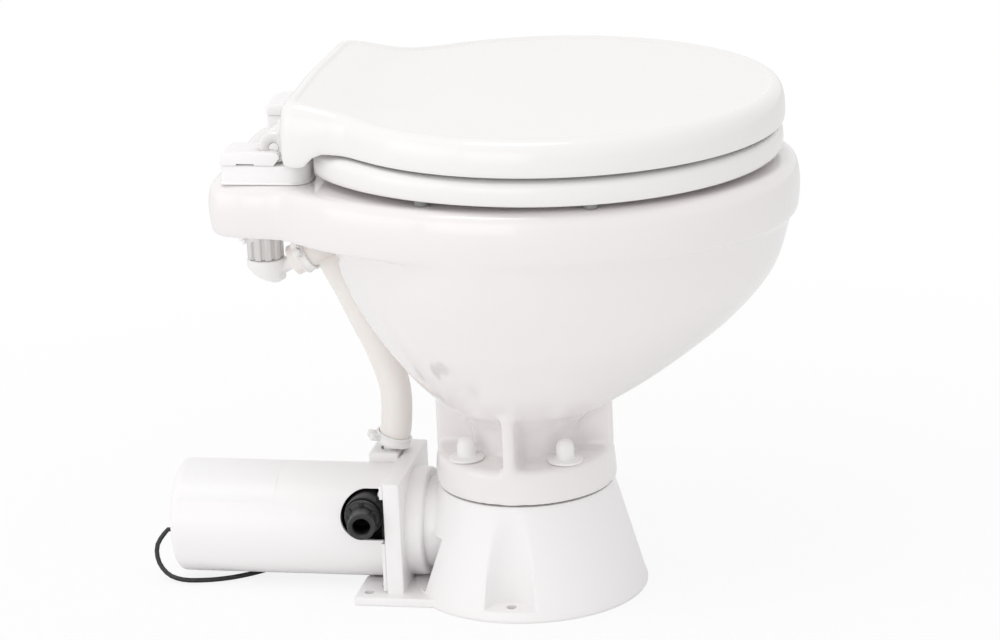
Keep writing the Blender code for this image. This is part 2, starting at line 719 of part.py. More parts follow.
def ceramic_bowl():
    """Vitreous china: foot flange, ribbed neck, belly, rim band with the hinge shelf, open inside."""
    even = [2 * pi * i / 32 for i in range(32)]

    def disc(radius, z):
        return round_points(lambda a: radius, even, 0, z)

    outside = [
        disc(FLANGE_R - FLANGE_ROUND / 3, FLANGE_Z), disc(FLANGE_R, FLANGE_Z + FLANGE_ROUND),
        disc(FLANGE_TOP_R, FLANGE_TOP - FLANGE_ROUND), disc(FLANGE_TOP_R - FLANGE_ROUND, FLANGE_TOP),
        disc(NECK_R, FLANGE_TOP),
    ] + belly_rings(0, even)
    top_ring = [(x, y, BOWL_TOP - BAND_H / 2) for x, y, z in outside[-1]]
    bowl = loft("ceramic_bowl", outside + [top_ring])
    bottom = BOWL_TOP - BAND_H
    angles = crowded_angles(band_reach(0), 42)
    band = loft("rim_band", [
        round_points(band_reach(reach_in), angles, BOWL_CENTRE_Y, z) for reach_in, z in (
            (BAND_OVERHANG + BAND_BULGE, bottom), (BAND_BULGE, bottom + BAND_OVERHANG),
            (0, bottom + BAND_H / 2), (BAND_BULGE / 2, BOWL_TOP - BAND_ROUND),
            (BAND_ROUND / 3, BOWL_TOP - BAND_ROUND / 3), (BAND_ROUND, BOWL_TOP))], True)
    fuse(bowl, band)
    for i in range(4):
        a = radians(90 * i)
        rib = box(f"neck_rib_{i + 1}", (NECK_R / 2, -RIB_T / 2, FLANGE_TOP - FLANGE_ROUND),
                  (RIB_REACH, RIB_T / 2, FLANGE_TOP + RIB_H), True, FLANGE_ROUND, 2, "Z")
        rib.matrix_world = Matrix.Rotation(a, 4, "Z") @ rib.matrix_world
        fuse(bowl, rib)
    fuse(bowl, cylinder("spud_boss", (0, SPUD_Y, bottom - SPUD_BOSS_H), (0, SPUD_Y, bottom + OVERRUN),
                        SPUD_BOSS_R, True, 20))
    lip = BOWL_TOP - RIM_LIP_H

    def mouth(grow, z):
        return round_points(lambda a: egg(a, MOUTH_HALF_W + grow, MOUTH_FRONT + grow, MOUTH_REAR + grow),
                            even, BOWL_CENTRE_Y, z)

    inside = belly_rings(BOWL_WALL, even)
    under_lip = [(x, y, lip - BAND_OVERHANG) for x, y, z in inside[-1]]
    hollow = loft("bowl_hollow", [
        disc(OUTLET_R, FLANGE_Z - OVERRUN), disc(OUTLET_R, FLANGE_TOP + FLANGE_H), *inside[2:-1],
        under_lip, mouth(0, lip), mouth(0, BOWL_TOP - MOUTH_ROUND),
        mouth(MOUTH_ROUND / 3, BOWL_TOP - MOUTH_ROUND / 3), mouth(MOUTH_ROUND, BOWL_TOP),
        mouth(MOUTH_ROUND, BOWL_TOP + OVERRUN)], True)
    cut(bowl, hollow)
    for i, (x, y) in enumerate(BOLT_SPOTS):
        cut(bowl, cylinder(f"flange_hole_{i + 1}", (x, y, FLANGE_Z - OVERRUN), (x, y, FLANGE_TOP + OVERRUN),
                           BOLT_R + 2 * BOLT_CLEAR, True, 10))
    for side, label in ((-1, "near"), (1, "far")):
        x = side * HINGE_BOLT_X
        cut(bowl, cylinder(f"shelf_hole_{label}", (x, HINGE_BOLT_Y, bottom - OVERRUN),
                           (x, HINGE_BOLT_Y, BOWL_TOP + OVERRUN), SHELF_HOLE_R, True, 12))
    spud = bottom - SPUD_BOSS_H
    cut(bowl, cylinder("spud_cut", (0, SPUD_Y, spud - OVERRUN), (0, SPUD_Y, spud + SPUD_HOLE_DEPTH),
                       SPUD_HOLE_R, True, 16))
    paint(ceramic, bowl)


def foot_bolts():
    """Four bolts up through base, seal and foot flange, each with its nut under a domed cap."""
    for i, (x, y) in enumerate(BOLT_SPOTS):
        head_top = CONE_H - CORE_TOP_WALL - GAP
        nut = FLANGE_TOP + GAP + CAP_WASHER_T + GAP
        bolt = turned(f"foot_bolt_{i + 1}", [
            (0, nut + BOLT_NUT_H + BOLT_R), (BOLT_R, nut + BOLT_NUT_H + BOLT_R),
            (BOLT_R, nut + BOLT_NUT_H), (BOLT_HEAD_R, nut + BOLT_NUT_H), (BOLT_HEAD_R, nut), (BOLT_R, nut),
            (BOLT_R, head_top), (BOLT_HEAD_R, head_top), (BOLT_HEAD_R, head_top - BOLT_HEAD_H),
            (0, head_top - BOLT_HEAD_H)], 8, along((x, y, 0)))
        low = FLANGE_TOP + GAP
        inner = BOLT_HEAD_R + GAP
        hole = BOLT_R + GAP
        cap = turned(f"bolt_cap_{i + 1}", [
            (0, low + CAP_H), (CAP_R / 2, low + CAP_H - CAP_R / 8), (CAP_R * 0.85, low + CAP_H - CAP_R / 2),
            (CAP_R, low + CAP_H - CAP_R), (CAP_R, low + CAP_WASHER_T),
            (CAP_WASHER_R, low + CAP_WASHER_T),
            (CAP_WASHER_R, low), (hole, low), (hole, low + CAP_WASHER_T), (inner, low + CAP_WASHER_T),
            (inner, low + CAP_H - CAP_R), (CAP_R / 2, low + CAP_H - CAP_R / 2),
            (0, low + CAP_H - CAP_R / 2 + CAP_WALL)], 14, along((x, y, 0)))
        paint(steel, bolt)
        paint(gloss, cap)


def seat_reach(inset):
    def reach(a):
        outer = egg(a, SEAT_HALF_W - inset, SEAT_FRONT - inset, SEAT_REAR - inset)
        back = -cos(a)
        return narrowest(outer, (SEAT_REAR_CUT - inset) / back, power=36) if back > 0.05 else outer
    return reach


def hole_reach(grow):
    return lambda a: egg(a, SEAT_HOLE_HALF_W + grow, SEAT_HOLE_FRONT + grow, SEAT_HOLE_REAR + grow)


def toilet_seat():
    """Moulded ring seat with an arm and a knuckle on each side, on the hinge axis."""
    angles = crowded_angles(seat_reach(0), 42)
    r, top = SEAT_EDGE_ROUND, SEAT_BOTTOM + SEAT_T
    rings = [(seat_reach(inset), z) for inset, z in (
        (r, SEAT_BOTTOM), (0, SEAT_BOTTOM + r), (0, top - 2 * r), (r / 2, top - r), (2 * r, top - r / 5))]
    rings += [(hole_reach(grow), z) for grow, z in (
        (SEAT_HOLE_SLOPE, top), (SEAT_HOLE_SLOPE / 2, top - r / 3), (0, top - 2 * r), (r / 2, SEAT_BOTTOM))]
    seat = loft("toilet_seat", [round_points(f, angles, SEAT_CENTRE_Y, z) for f, z in rings], closed=True)
    arm_low = HINGE_Z - BARREL_R + RUN_GAP + GAP
    for side, label in ((-1, "near"), (1, "far")):
        a, b = sorted((side * KNUCKLE_IN, side * (KNUCKLE_IN + SEAT_KNUCKLE_W)))
        arm = box(f"seat_arm_{label}", (a, HINGE_Y - SEAT_ARM_ROOT, arm_low),
                  (b, HINGE_Y, arm_low + SEAT_ARM_T), True)
        barrel = cylinder(f"seat_barrel_{label}", (a, HINGE_Y, HINGE_Z), (b, HINGE_Y, HINGE_Z),
                          BARREL_R, True, 20)
        bore = cylinder(f"seat_bore_{label}", (a - OVERRUN, HINGE_Y, HINGE_Z),
                        (b + OVERRUN, HINGE_Y, HINGE_Z), PIN_R + GAP, True, 12)
        fuse(seat, arm, barrel)
        cut(seat, bore)
    paint(gloss, seat)
    return seat


def lid_reach(inset):
    return lambda a: widest(
        egg(a, LID_HALF_W - inset, LID_FRONT - inset, LID_REAR - inset),
        block(a, LID_TAIL_HALF_W - inset, LID_TAIL_REAR - inset, power=28), power=24)


LID_BOTTOM = SEAT_BOTTOM + SEAT_T + LID_GAP
LID_TOP = LID_BOTTOM + LID_H


def lid_top_height(sink):
    """Height of the lid's top skin, kicked up towards the hinge edge."""
    return lambda x, y: LID_TOP - sink + LID_KICK * ease(
        y, SEAT_CENTRE_Y + LID_KICK_START, SEAT_CENTRE_Y + LID_TAIL_REAR)


def lid_edge_height(x, y):
    """Height of the skirt's lower edge: level, dropped in the corner lobes, raised over the hinges."""
    back = y - SEAT_CENTRE_Y
    outside = ease(abs(x), LID_TAIL_HALF_W - LID_LOBE_W - RUN_GAP, LID_TAIL_HALF_W - LID_LOBE_W / 2)
    lobe = ease(back, LID_LOBE_START, LID_LOBE_END)
    return LID_BOTTOM - LID_LOBE_DROP * lobe * outside + LID_REAR_RISE * lobe * (1 - outside)


def toilet_lid():
    """Moulded shell lid: full skirt, soft crest, sunk panel, lobes and lugs at the hinge edge."""
    angles = crowded_angles(lid_reach(0), 48)

    def between(share, sink):
        top = lid_top_height(sink)
        return lambda x, y: lid_edge_height(x, y) * (1 - share) + top(x, y) * share

    def ring(inset, height):
        return round_points(lid_reach(inset), angles, SEAT_CENTRE_Y, height)

    def shrunk(share, height):
        reach = lid_reach(LID_PANEL_IN)
        return round_points(lambda a: reach(a) * share, angles, SEAT_CENTRE_Y, height)

    panel, under = lid_top_height(LID_PANEL_SINK), lid_top_height(LID_PANEL_SINK + LID_WALL)
    c, w = LID_CREST_IN, LID_WALL
    rings = [
        [(0, SEAT_CENTRE_Y, panel(0, SEAT_CENTRE_Y))], shrunk(0.6, panel),
        ring(LID_PANEL_IN, panel), ring(c * 1.6, lid_top_height(LID_PANEL_SINK / 3)),
        ring(c, lid_top_height(0)), ring(c * 0.40, between(0.90, 0)),
        ring(0, between(0.50, 0)), ring(0, between(0.12, 0)), ring(c * 0.15, lid_edge_height),
        ring(w, lid_edge_height), ring(w + c * 0.15, between(0.65, w)),
        ring(w + c, lid_top_height(w + LID_PANEL_SINK)), ring(LID_PANEL_IN + w, under),
        shrunk(0.55, under), [(0, SEAT_CENTRE_Y, under(0, SEAT_CENTRE_Y))],
    ]
    lid = loft("toilet_lid", rings)
    lid_in = KNUCKLE_IN + SEAT_KNUCKLE_W + BASE_KNUCKLE_W + 2 * RUN_GAP
    for side, label in ((-1, "near"), (1, "far")):
        a, b = sorted((side * lid_in, side * (lid_in + LID_KNUCKLE_W)))
        lug = box(f"lid_lug_{label}", (a, HINGE_Y - LUG_ROOT, HINGE_Z),
                  (b, HINGE_Y - LUG_BACK, HINGE_Z + LUG_UP), True)
        barrel = cylinder(f"lid_barrel_{label}", (a, HINGE_Y, HINGE_Z), (b, HINGE_Y, HINGE_Z),
                          BARREL_R, True, 20)
        bore = cylinder(f"lid_bore_{label}", (a - OVERRUN, HINGE_Y, HINGE_Z),
                        (b + OVERRUN, HINGE_Y, HINGE_Z), PIN_R + GAP, True, 12)
        fuse(lid, lug, barrel)
        cut(lid, bore)
        x, y = side * LID_HALF_W * LID_POST_X_SHARE, SEAT_CENTRE_Y - LID_FRONT * LID_POST_Y_SHARE
        fuse(lid, cylinder(f"lid_post_{label}", (x, y, LID_BOTTOM + LID_GAP),
                           (x, y, LID_TOP - LID_PANEL_SINK - LID_WALL / 2),
                           LID_POST_R, True, 12))
    paint(gloss, lid)
    return lid


def bumpers():
    """Rubber feet: four under the seat, two on the lid's posts."""
    rows = (SEAT_CENTRE_Y - SEAT_FRONT * SEAT_BUMPER_FRONT_SHARE, SEAT_CENTRE_Y + SEAT_REAR * SEAT_BUMPER_REAR_SHARE)
    spots = [(sx * SEAT_HALF_W * SEAT_BUMPER_X_SHARE, y) for sx in (-1, 1) for y in rows]
    for i, (x, y) in enumerate(spots):
        paint(grey_rubber, cylinder(f"seat_bumper_{i + 1}", (x, y, BOWL_TOP + GAP),
                                    (x, y, SEAT_BOTTOM - GAP), BUMPER_R, sides=12))
    for side, label in ((-1, "near"), (1, "far")):
        x, y = side * LID_HALF_W * LID_POST_X_SHARE, SEAT_CENTRE_Y - LID_FRONT * LID_POST_Y_SHARE
        paint(grey_rubber, cylinder(
            f"lid_bumper_{label}", (x, y, SEAT_BOTTOM + SEAT_T + GAP),
            (x, y, LID_BOTTOM + LID_GAP - GAP), BUMPER_R, sides=12))


def hinge_plan(side, front_y, front_r, inset, z):
    """Outline of a hinge base or cover in plan: a rounded front, small corners at the rear."""
    points = []
    for x, y, r, turn in ((HINGE_OUT, front_y, front_r, 0), (HINGE_OUT, HINGE_REAR_Y, HINGE_TAIL_R, 1),
                          (HINGE_IN, HINGE_REAR_Y, HINGE_TAIL_R, 2), (HINGE_IN, front_y, front_r, 3)):
        r = max(r - inset, HINGE_FOOT_RIM / 2)
        out = 1 if x == HINGE_OUT else -1
        back = 1 if y == HINGE_REAR_Y else -1
        for k in range(4):
            t = radians(-90 + 90 * turn + 30 * k)
            points.append((side * (x - out * (inset + r) + r * cos(t)), y - back * (inset + r) + r * sin(t), z))
    return points


def hinges():
    """Each side: base with its knuckle, snap cover, pin, bolt and wing nut."""
    base_in = KNUCKLE_IN + SEAT_KNUCKLE_W + RUN_GAP
    base_low = BOWL_TOP + GAP
    base_top = base_low + HINGE_BASE_H
    for side, label in ((-1, "near"), (1, "far")):
        def span(near, far):
            return sorted((side * near, side * far))

        base = loft(f"hinge_base_{label}", [
            hinge_plan(side, HINGE_NOSE_Y, HINGE_NOSE_R, inset, z) for inset, z in (
                (0, base_low), (0, base_low + HINGE_FOOT_H - HINGE_FOOT_RIM / 2),
                (HINGE_FOOT_RIM, base_low + HINGE_FOOT_H), (HINGE_FOOT_RIM, base_top - HINGE_FOOT_RIM),
                (2 * HINGE_FOOT_RIM, base_top))])
        a, b = span(base_in, base_in + BASE_KNUCKLE_W)
        half = BARREL_R * 0.8
        fuse(base,
             box(f"knuckle_root_{label}", (a, HINGE_Y - half, base_top - OVERRUN),
                 (b, HINGE_Y + half, HINGE_Z), True),
             cylinder(f"base_barrel_{label}", (a, HINGE_Y, HINGE_Z), (b, HINGE_Y, HINGE_Z),
                      BARREL_R, True, 20))
        x = side * HINGE_BOLT_X
        cut(base,
            cylinder(f"base_bore_{label}", (a - OVERRUN, HINGE_Y, HINGE_Z),
                     (b + OVERRUN, HINGE_Y, HINGE_Z), PIN_R + GAP, True, 12),
            cylinder(f"bolt_recess_{label}", (x, HINGE_BOLT_Y, base_top - HINGE_BOLT_HEAD_H - 2 * GAP),
                     (x, HINGE_BOLT_Y, base_top + OVERRUN), HINGE_BOLT_HEAD_R + GAP, True, 12),
            cylinder(f"bolt_clear_{label}", (x, HINGE_BOLT_Y, base_low - OVERRUN),
                     (x, HINGE_BOLT_Y, base_top), HINGE_BOLT_R + GAP, True, 8))
        cover_low = base_top + GAP
        cover = loft(f"hinge_cover_{label}", [
            hinge_plan(side, COVER_Y, HINGE_TAIL_R, COVER_H * inset, cover_low + COVER_H * up)
            for inset, up in COVER_DOME_SHARES])
        a, b = span(HINGE_OUT - COVER_CHEEK_W, HINGE_OUT)
        root, front, tall = COVER_Y + COVER_CHEEK_ROOT, COVER_CHEEK_Y - COVER_CHEEK_LEAN, COVER_CHEEK_H
        cheek = [(COVER_CHEEK_Y, 0), (root, 0), (root, tall * 0.65), (root - COVER_CHEEK_ROOT, tall),
                 (COVER_CHEEK_Y, tall), (front, tall * 0.78), (front, tall * 0.55)]
        fuse(cover, loft(f"cover_cheek_{label}", [[(x, y, cover_low + z) for y, z in cheek] for x in (a, b)], True))
        a, b = span(HINGE_OUT - COVER_SLOT_D, HINGE_OUT + OVERRUN)
        cut(cover, box(f"cover_slot_{label}", (a, COVER_SLOT_Y, cover_low - OVERRUN),
                       (b, COVER_SLOT_Y + COVER_SLOT_L, cover_low + COVER_SLOT_H), True))
        lid_out = base_in + BASE_KNUCKLE_W + RUN_GAP + LID_KNUCKLE_W
        pin = cylinder(f"hinge_pin_{label}", (side * KNUCKLE_IN, HINGE_Y, HINGE_Z),
                       (side * lid_out, HINGE_Y, HINGE_Z), PIN_R, sides=12)
        head = base_top - GAP
        shelf = BOWL_TOP - BAND_H
        bolt = turned(f"hinge_bolt_{label}", [
            (0, head), (HINGE_BOLT_HEAD_R, head), (HINGE_BOLT_HEAD_R, head - HINGE_BOLT_HEAD_H),
            (HINGE_BOLT_R, head - HINGE_BOLT_HEAD_H), (HINGE_BOLT_R, shelf - HINGE_BOLT_TAIL),
            (0, shelf - HINGE_BOLT_TAIL)], 8, along((x, HINGE_BOLT_Y, 0)))
        nut_top = shelf - GAP
        nut = cylinder(f"wing_nut_{label}", (x, HINGE_BOLT_Y, nut_top - WING_HUB_H),
                       (x, HINGE_BOLT_Y, nut_top), WING_HUB_R, sides=14)
        fuse(nut, box(f"wings_{label}", (x - WING_SPAN / 2, HINGE_BOLT_Y - WING_T / 2, nut_top - WING_HUB_H),
                      (x + WING_SPAN / 2, HINGE_BOLT_Y + WING_T / 2, nut_top - WING_HUB_H + WING_H), True))
        cut(nut, cylinder(f"nut_bore_{label}", (x, HINGE_BOLT_Y, nut_top - WING_HUB_H - OVERRUN),
                          (x, HINGE_BOLT_Y, nut_top + OVERRUN), HINGE_BOLT_R + GAP, True, 8))
        paint(white, base, cover, nut)
        paint(steel, pin, bolt)


def hose_ends():
    """Where the hose's two ends sit and the way they point, from elbow to rinse port."""
    tilt = radians(ELBOW_TILT_DEG)
    nut_low = BOWL_TOP - BAND_H - SPUD_BOSS_H - GAP - SPUD_NUT_H
    centre = Vector((0, SPUD_Y, nut_low - GAP - ELBOW_TURN_DROP))
    out = Vector((0, -cos(tilt), sin(tilt)))
    top_start = centre + out * ELBOW_HOSE_START
    tube_top = Vector(RINSE_TUBE_TOP)
    lean = (Vector(HOSE_ROUTE[-1]) - tube_top).normalized()
    return nut_low, centre, out, top_start, tube_top, lean


def water_inlet():
    """Ribbed nut and elbow under the shelf, and the hose with its two clamps."""
    nut_low, centre, out, top_start, tube_top, lean = hose_ends()
    nut_top = nut_low + SPUD_NUT_H
    bore = SPIGOT_R + GAP
    flat = []
    for i in range(SPUD_NUT_RIBS):
        for step, grow in ((0, 0), (0.3, 0), (0.45, SPUD_NUT_RIB_R), (0.85, SPUD_NUT_RIB_R)):
            a = 2 * pi * (i + step) / SPUD_NUT_RIBS
            r = SPUD_NUT_R - SPUD_NUT_RIB_R + grow
            flat.append((r * cos(a), SPUD_Y + r * sin(a)))
    nut = loft("spud_nut", [[(x, y, z) for x, y in flat] for z in (nut_low, nut_top)])
    cut(nut, cylinder("nut_hole", (0, SPUD_Y, nut_low - OVERRUN), (0, SPUD_Y, nut_top + OVERRUN),
                      bore, True, 16))
    top = nut_low - GAP
    elbow = turned("inlet_elbow", [
        (0, nut_top + SPIGOT_UP), (SPIGOT_R, nut_top + SPIGOT_UP), (SPIGOT_R, top), (ELBOW_R, top),
        (ELBOW_R, top - ELBOW_H + ELBOW_CUT), (ELBOW_R - ELBOW_CUT, top - ELBOW_H), (0, top - ELBOW_H)],
        20, along((0, SPUD_Y, 0)))
    tip = centre + out * ELBOW_OUT_L
    barb_start = centre + out * (ELBOW_HOSE_START - CLAMP_IN)
    fuse(elbow, cylinder("elbow_neck", centre, barb_start + out * CLAMP_IN, ELBOW_NECK_R, True, 16),
         cylinder("elbow_barb", barb_start, tip, BARB_R, True, 16))
    cut(elbow,
        cylinder("elbow_bore", centre, (0, SPUD_Y, nut_top + SPIGOT_UP + OVERRUN), INLET_BORE_R, True, 12),
        cylinder("barb_bore", centre, tip + out * OVERRUN, INLET_BORE_R, True, 12))

    start = [top_start, top_start + out * HOSE_ON_BARB]
    end = [tube_top + lean * HOSE_ON_BARB, tube_top]
    route = smooth_route([*start, *HOSE_ROUTE[:-1], *end], 0.6 * HOSE_R)
    hose = tube("rinse_hose", route, HOSE_R, 2, solid_mesh=True)
    first, last = (route[0] - route[1]).normalized(), (route[-1] - route[-2]).normalized()
    longer = [route[0] + first * OVERRUN, *route, route[-1] + last * OVERRUN]
    cut(hose, tube("hose_bore", longer, HOSE_BORE_R, 2, True, True))
    clamps = []
    for label, spot, way, turn in (("top", top_start + out * CLAMP_TOP_IN, out, CLAMP_TOP_TURN_DEG),
                                   ("bottom", tube_top + lean * CLAMP_IN, lean, CLAMP_BOTTOM_TURN_DEG)):
        inner = HOSE_R + RUN_GAP
        clamp = turned(f"hose_clamp_{label}", [
            (inner + CLAMP_T, CLAMP_W), (inner + CLAMP_T, 0), (inner, 0), (inner, CLAMP_W)],
            20, along(spot, way), ring=True)
        ear = box(f"clamp_ear_{label}", (inner + GAP, -CLAMP_EAR, CLAMP_T / 2),
                  (inner + CLAMP_T + CLAMP_EAR, CLAMP_EAR, CLAMP_W - CLAMP_T / 2), True)
        ear.matrix_world = along(spot, way) @ Matrix.Rotation(radians(turn), 4, "Z") @ ear.matrix_world
        clamps.append(fuse(clamp, ear))
    paint(clear, nut, elbow, *clamps)
    paint(vinyl, hose)


def discharge():
    """Black volute housing with its side boss, the joker valve and the hose nozzle."""
    start = PLATE_REAR + GAP
    length = DISCHARGE_END - start
    housing = turned("discharge_housing", [
        (0, length), (DISCHARGE_R, length), (DISCHARGE_R, DISCHARGE_FLANGE_T),
        (DISCHARGE_FLANGE_R, DISCHARGE_FLANGE_T), (DISCHARGE_FLANGE_R, 0), (0, 0)], 28, on_axis(start))
    y, z = OUTLET_BOSS_Y, OUTLET_BOSS_Z
    valve_bore = VALVE_R + GAP
    fuse(housing, cylinder("outlet_boss", (-OUTLET_BOSS_ROOT, y, z), (-OUTLET_BOSS_X, y, z),
                           OUTLET_BOSS_R, True, 20))
    cut(housing,
        cylinder("volute_cut", (0, start - OVERRUN, AXIS_Z), (0, DISCHARGE_CAVITY_END, AXIS_Z),
                 DISCHARGE_CAVITY_R, True, 24),
        cylinder("valve_cut", (-OUTLET_BOSS_ROOT, y, z), (-OUTLET_BOSS_X - OVERRUN, y, z), valve_bore, True, 20),
        cylinder("shaft_cut", (0, start, AXIS_Z), (0, DISCHARGE_END + OVERRUN, AXIS_Z), SHAFT_R + GAP, True, 12),
        cylinder("seal_cut", (0, DISCHARGE_END - SEAL_SEAT_L, AXIS_Z), (0, DISCHARGE_END + OVERRUN, AXIS_Z),
                 SEAL_SEAT_R, True, 16))
    seal_r = SEAL_SEAT_R - GAP
    seal = turned("shaft_seal", [(seal_r, SHAFT_SEAL_L), (seal_r, 0), (SHAFT_R + GAP, 0),
                                 (SHAFT_R + GAP, SHAFT_SEAL_L)],
                  16, on_axis(DISCHARGE_END - SEAL_SEAT_L + GAP), ring=True)
    lip = VALVE_R / 4
    valve = turned("joker_valve", [
        (VALVE_R, 0), (VALVE_R, -lip), (VALVE_R - lip, -lip), (lip, -VALVE_L),
        (lip / 2, -VALVE_L), (VALVE_R - 1.5 * lip, 0)], 14,
        along((-OUTLET_BOSS_X + GAP, y, z), (1, 0, 0)) @ Matrix.Rotation(pi, 4, "X"), ring=True)
    yaw = radians(NOZZLE_YAW_DEG)
    way = Vector((-cos(yaw), -sin(yaw), 0))
    root = Vector((-OUTLET_BOSS_X - GAP, y, z))
    flange = cylinder("discharge_nozzle", root, root - Vector((NOZZLE_FLANGE_T, 0, 0)), NOZZLE_FLANGE_R, sides=20)
    inner = root - Vector((NOZZLE_FLANGE_T / 2, 0, 0))
    barb = turned("nozzle_barb", [
        (0, NOZZLE_L), (NOZZLE_RING_R - GAP, NOZZLE_L), (NOZZLE_RING_R, NOZZLE_L - NOZZLE_RING_L / 3),
        (NOZZLE_R, NOZZLE_L - NOZZLE_RING_L), (NOZZLE_R, 0), (0, 0)], 20, along(inner, way), True)
    fuse(flange, barb)
    cut(flange, cylinder("nozzle_bore", inner + way * (-OVERRUN), inner + way * (NOZZLE_L + OVERRUN),
                         NOZZLE_BORE_R, True, 16))
    paint(black, housing, flange)
    paint(rubber, seal, valve)


def rinse_pump():
    """Flexible-impeller pump between volute and motor, its outlet port and its intake port."""
    start = DISCHARGE_END + GAP
    end = start + RINSE_L
    boss_z = AXIS_Z + RINSE_PORT_UP
    housing = turned("rinse_pump_housing", [
        (0, RINSE_L), (RINSE_R, RINSE_L), (RINSE_R, 0), (0, 0)], 24, on_axis(start))
    fuse(housing, cylinder("rinse_boss", (RINSE_PORT_X, start, boss_z),
                           (RINSE_PORT_X, start + RINSE_BOSS_L, boss_z), RINSE_BOSS_R, True, 14))
    bore = RINSE_TUBE_BORE_R
    middle = start + RINSE_BOSS_L * 0.6
    cut(housing,
        cylinder("rinse_cut", (0, start + RINSE_WALL, AXIS_Z), (0, end + OVERRUN, AXIS_Z), RINSE_CAVITY_R, True, 24),
        cylinder("rinse_shaft_cut", (0, start - OVERRUN, AXIS_Z), (0, end, AXIS_Z), SHAFT_R + GAP, True, 12),
        cylinder("rinse_boss_cut", (RINSE_PORT_X, start - OVERRUN, boss_z), (RINSE_PORT_X, middle, boss_z),
                 bore, True, 10),
        cylinder("rinse_cross_cut", (RINSE_PORT_X * 0.55, middle - bore, AXIS_Z + RINSE_PORT_UP * 0.55),
                 (RINSE_PORT_X, middle - bore, boss_z), bore * 0.8, True, 8),
        cylinder("intake_cut", (RINSE_CAVITY_R - RINSE_WALL, INTAKE_Y, AXIS_Z),
                 (RINSE_R + OVERRUN, INTAKE_Y, AXIS_Z), INTAKE_BORE_R, True, 12))
    top = Vector(RINSE_TUBE_TOP)
    x = RINSE_PORT_X
    lean = (Vector(HOSE_ROUTE[-1]) - top).normalized()
    bend = top.y + RINSE_BEND_BACK
    run = smooth_route([(x, start - GAP, boss_z), (x, start - GAP - OVERRUN, boss_z),
                        (x, (start + bend) / 2, boss_z), (x, bend + RINSE_TUBE_R, boss_z + RINSE_TUBE_R / 4),
                        (x, bend, boss_z + 1.5 * RINSE_TUBE_R), top - lean * GAP], RINSE_TUBE_R)
    port = tube("rinse_port", run, RINSE_TUBE_R, 2, solid_mesh=True)
    tip = top + lean * HOSE_ON_BARB
    fuse(port, cylinder("port_barb", top - lean * (2 * GAP), tip, BARB_R, True, 14))
    inner = [run[0] - (run[1] - run[0]).normalized() * OVERRUN, *run[1:], tip, tip + lean * OVERRUN]
    cut(port, tube("port_bore", inner, RINSE_TUBE_BORE_R, 2, True, True))
    intake = turned("intake_port", [
        (INTAKE_R, INTAKE_TIP_X), (INTAKE_R, RINSE_R + GAP), (INTAKE_BORE_R, RINSE_R + GAP),
        (INTAKE_BORE_R, INTAKE_TIP_X)], 16, along((0, INTAKE_Y, AXIS_Z), (1, 0, 0)), ring=True)
    paint(black, housing, intake)
    paint(clear, port)


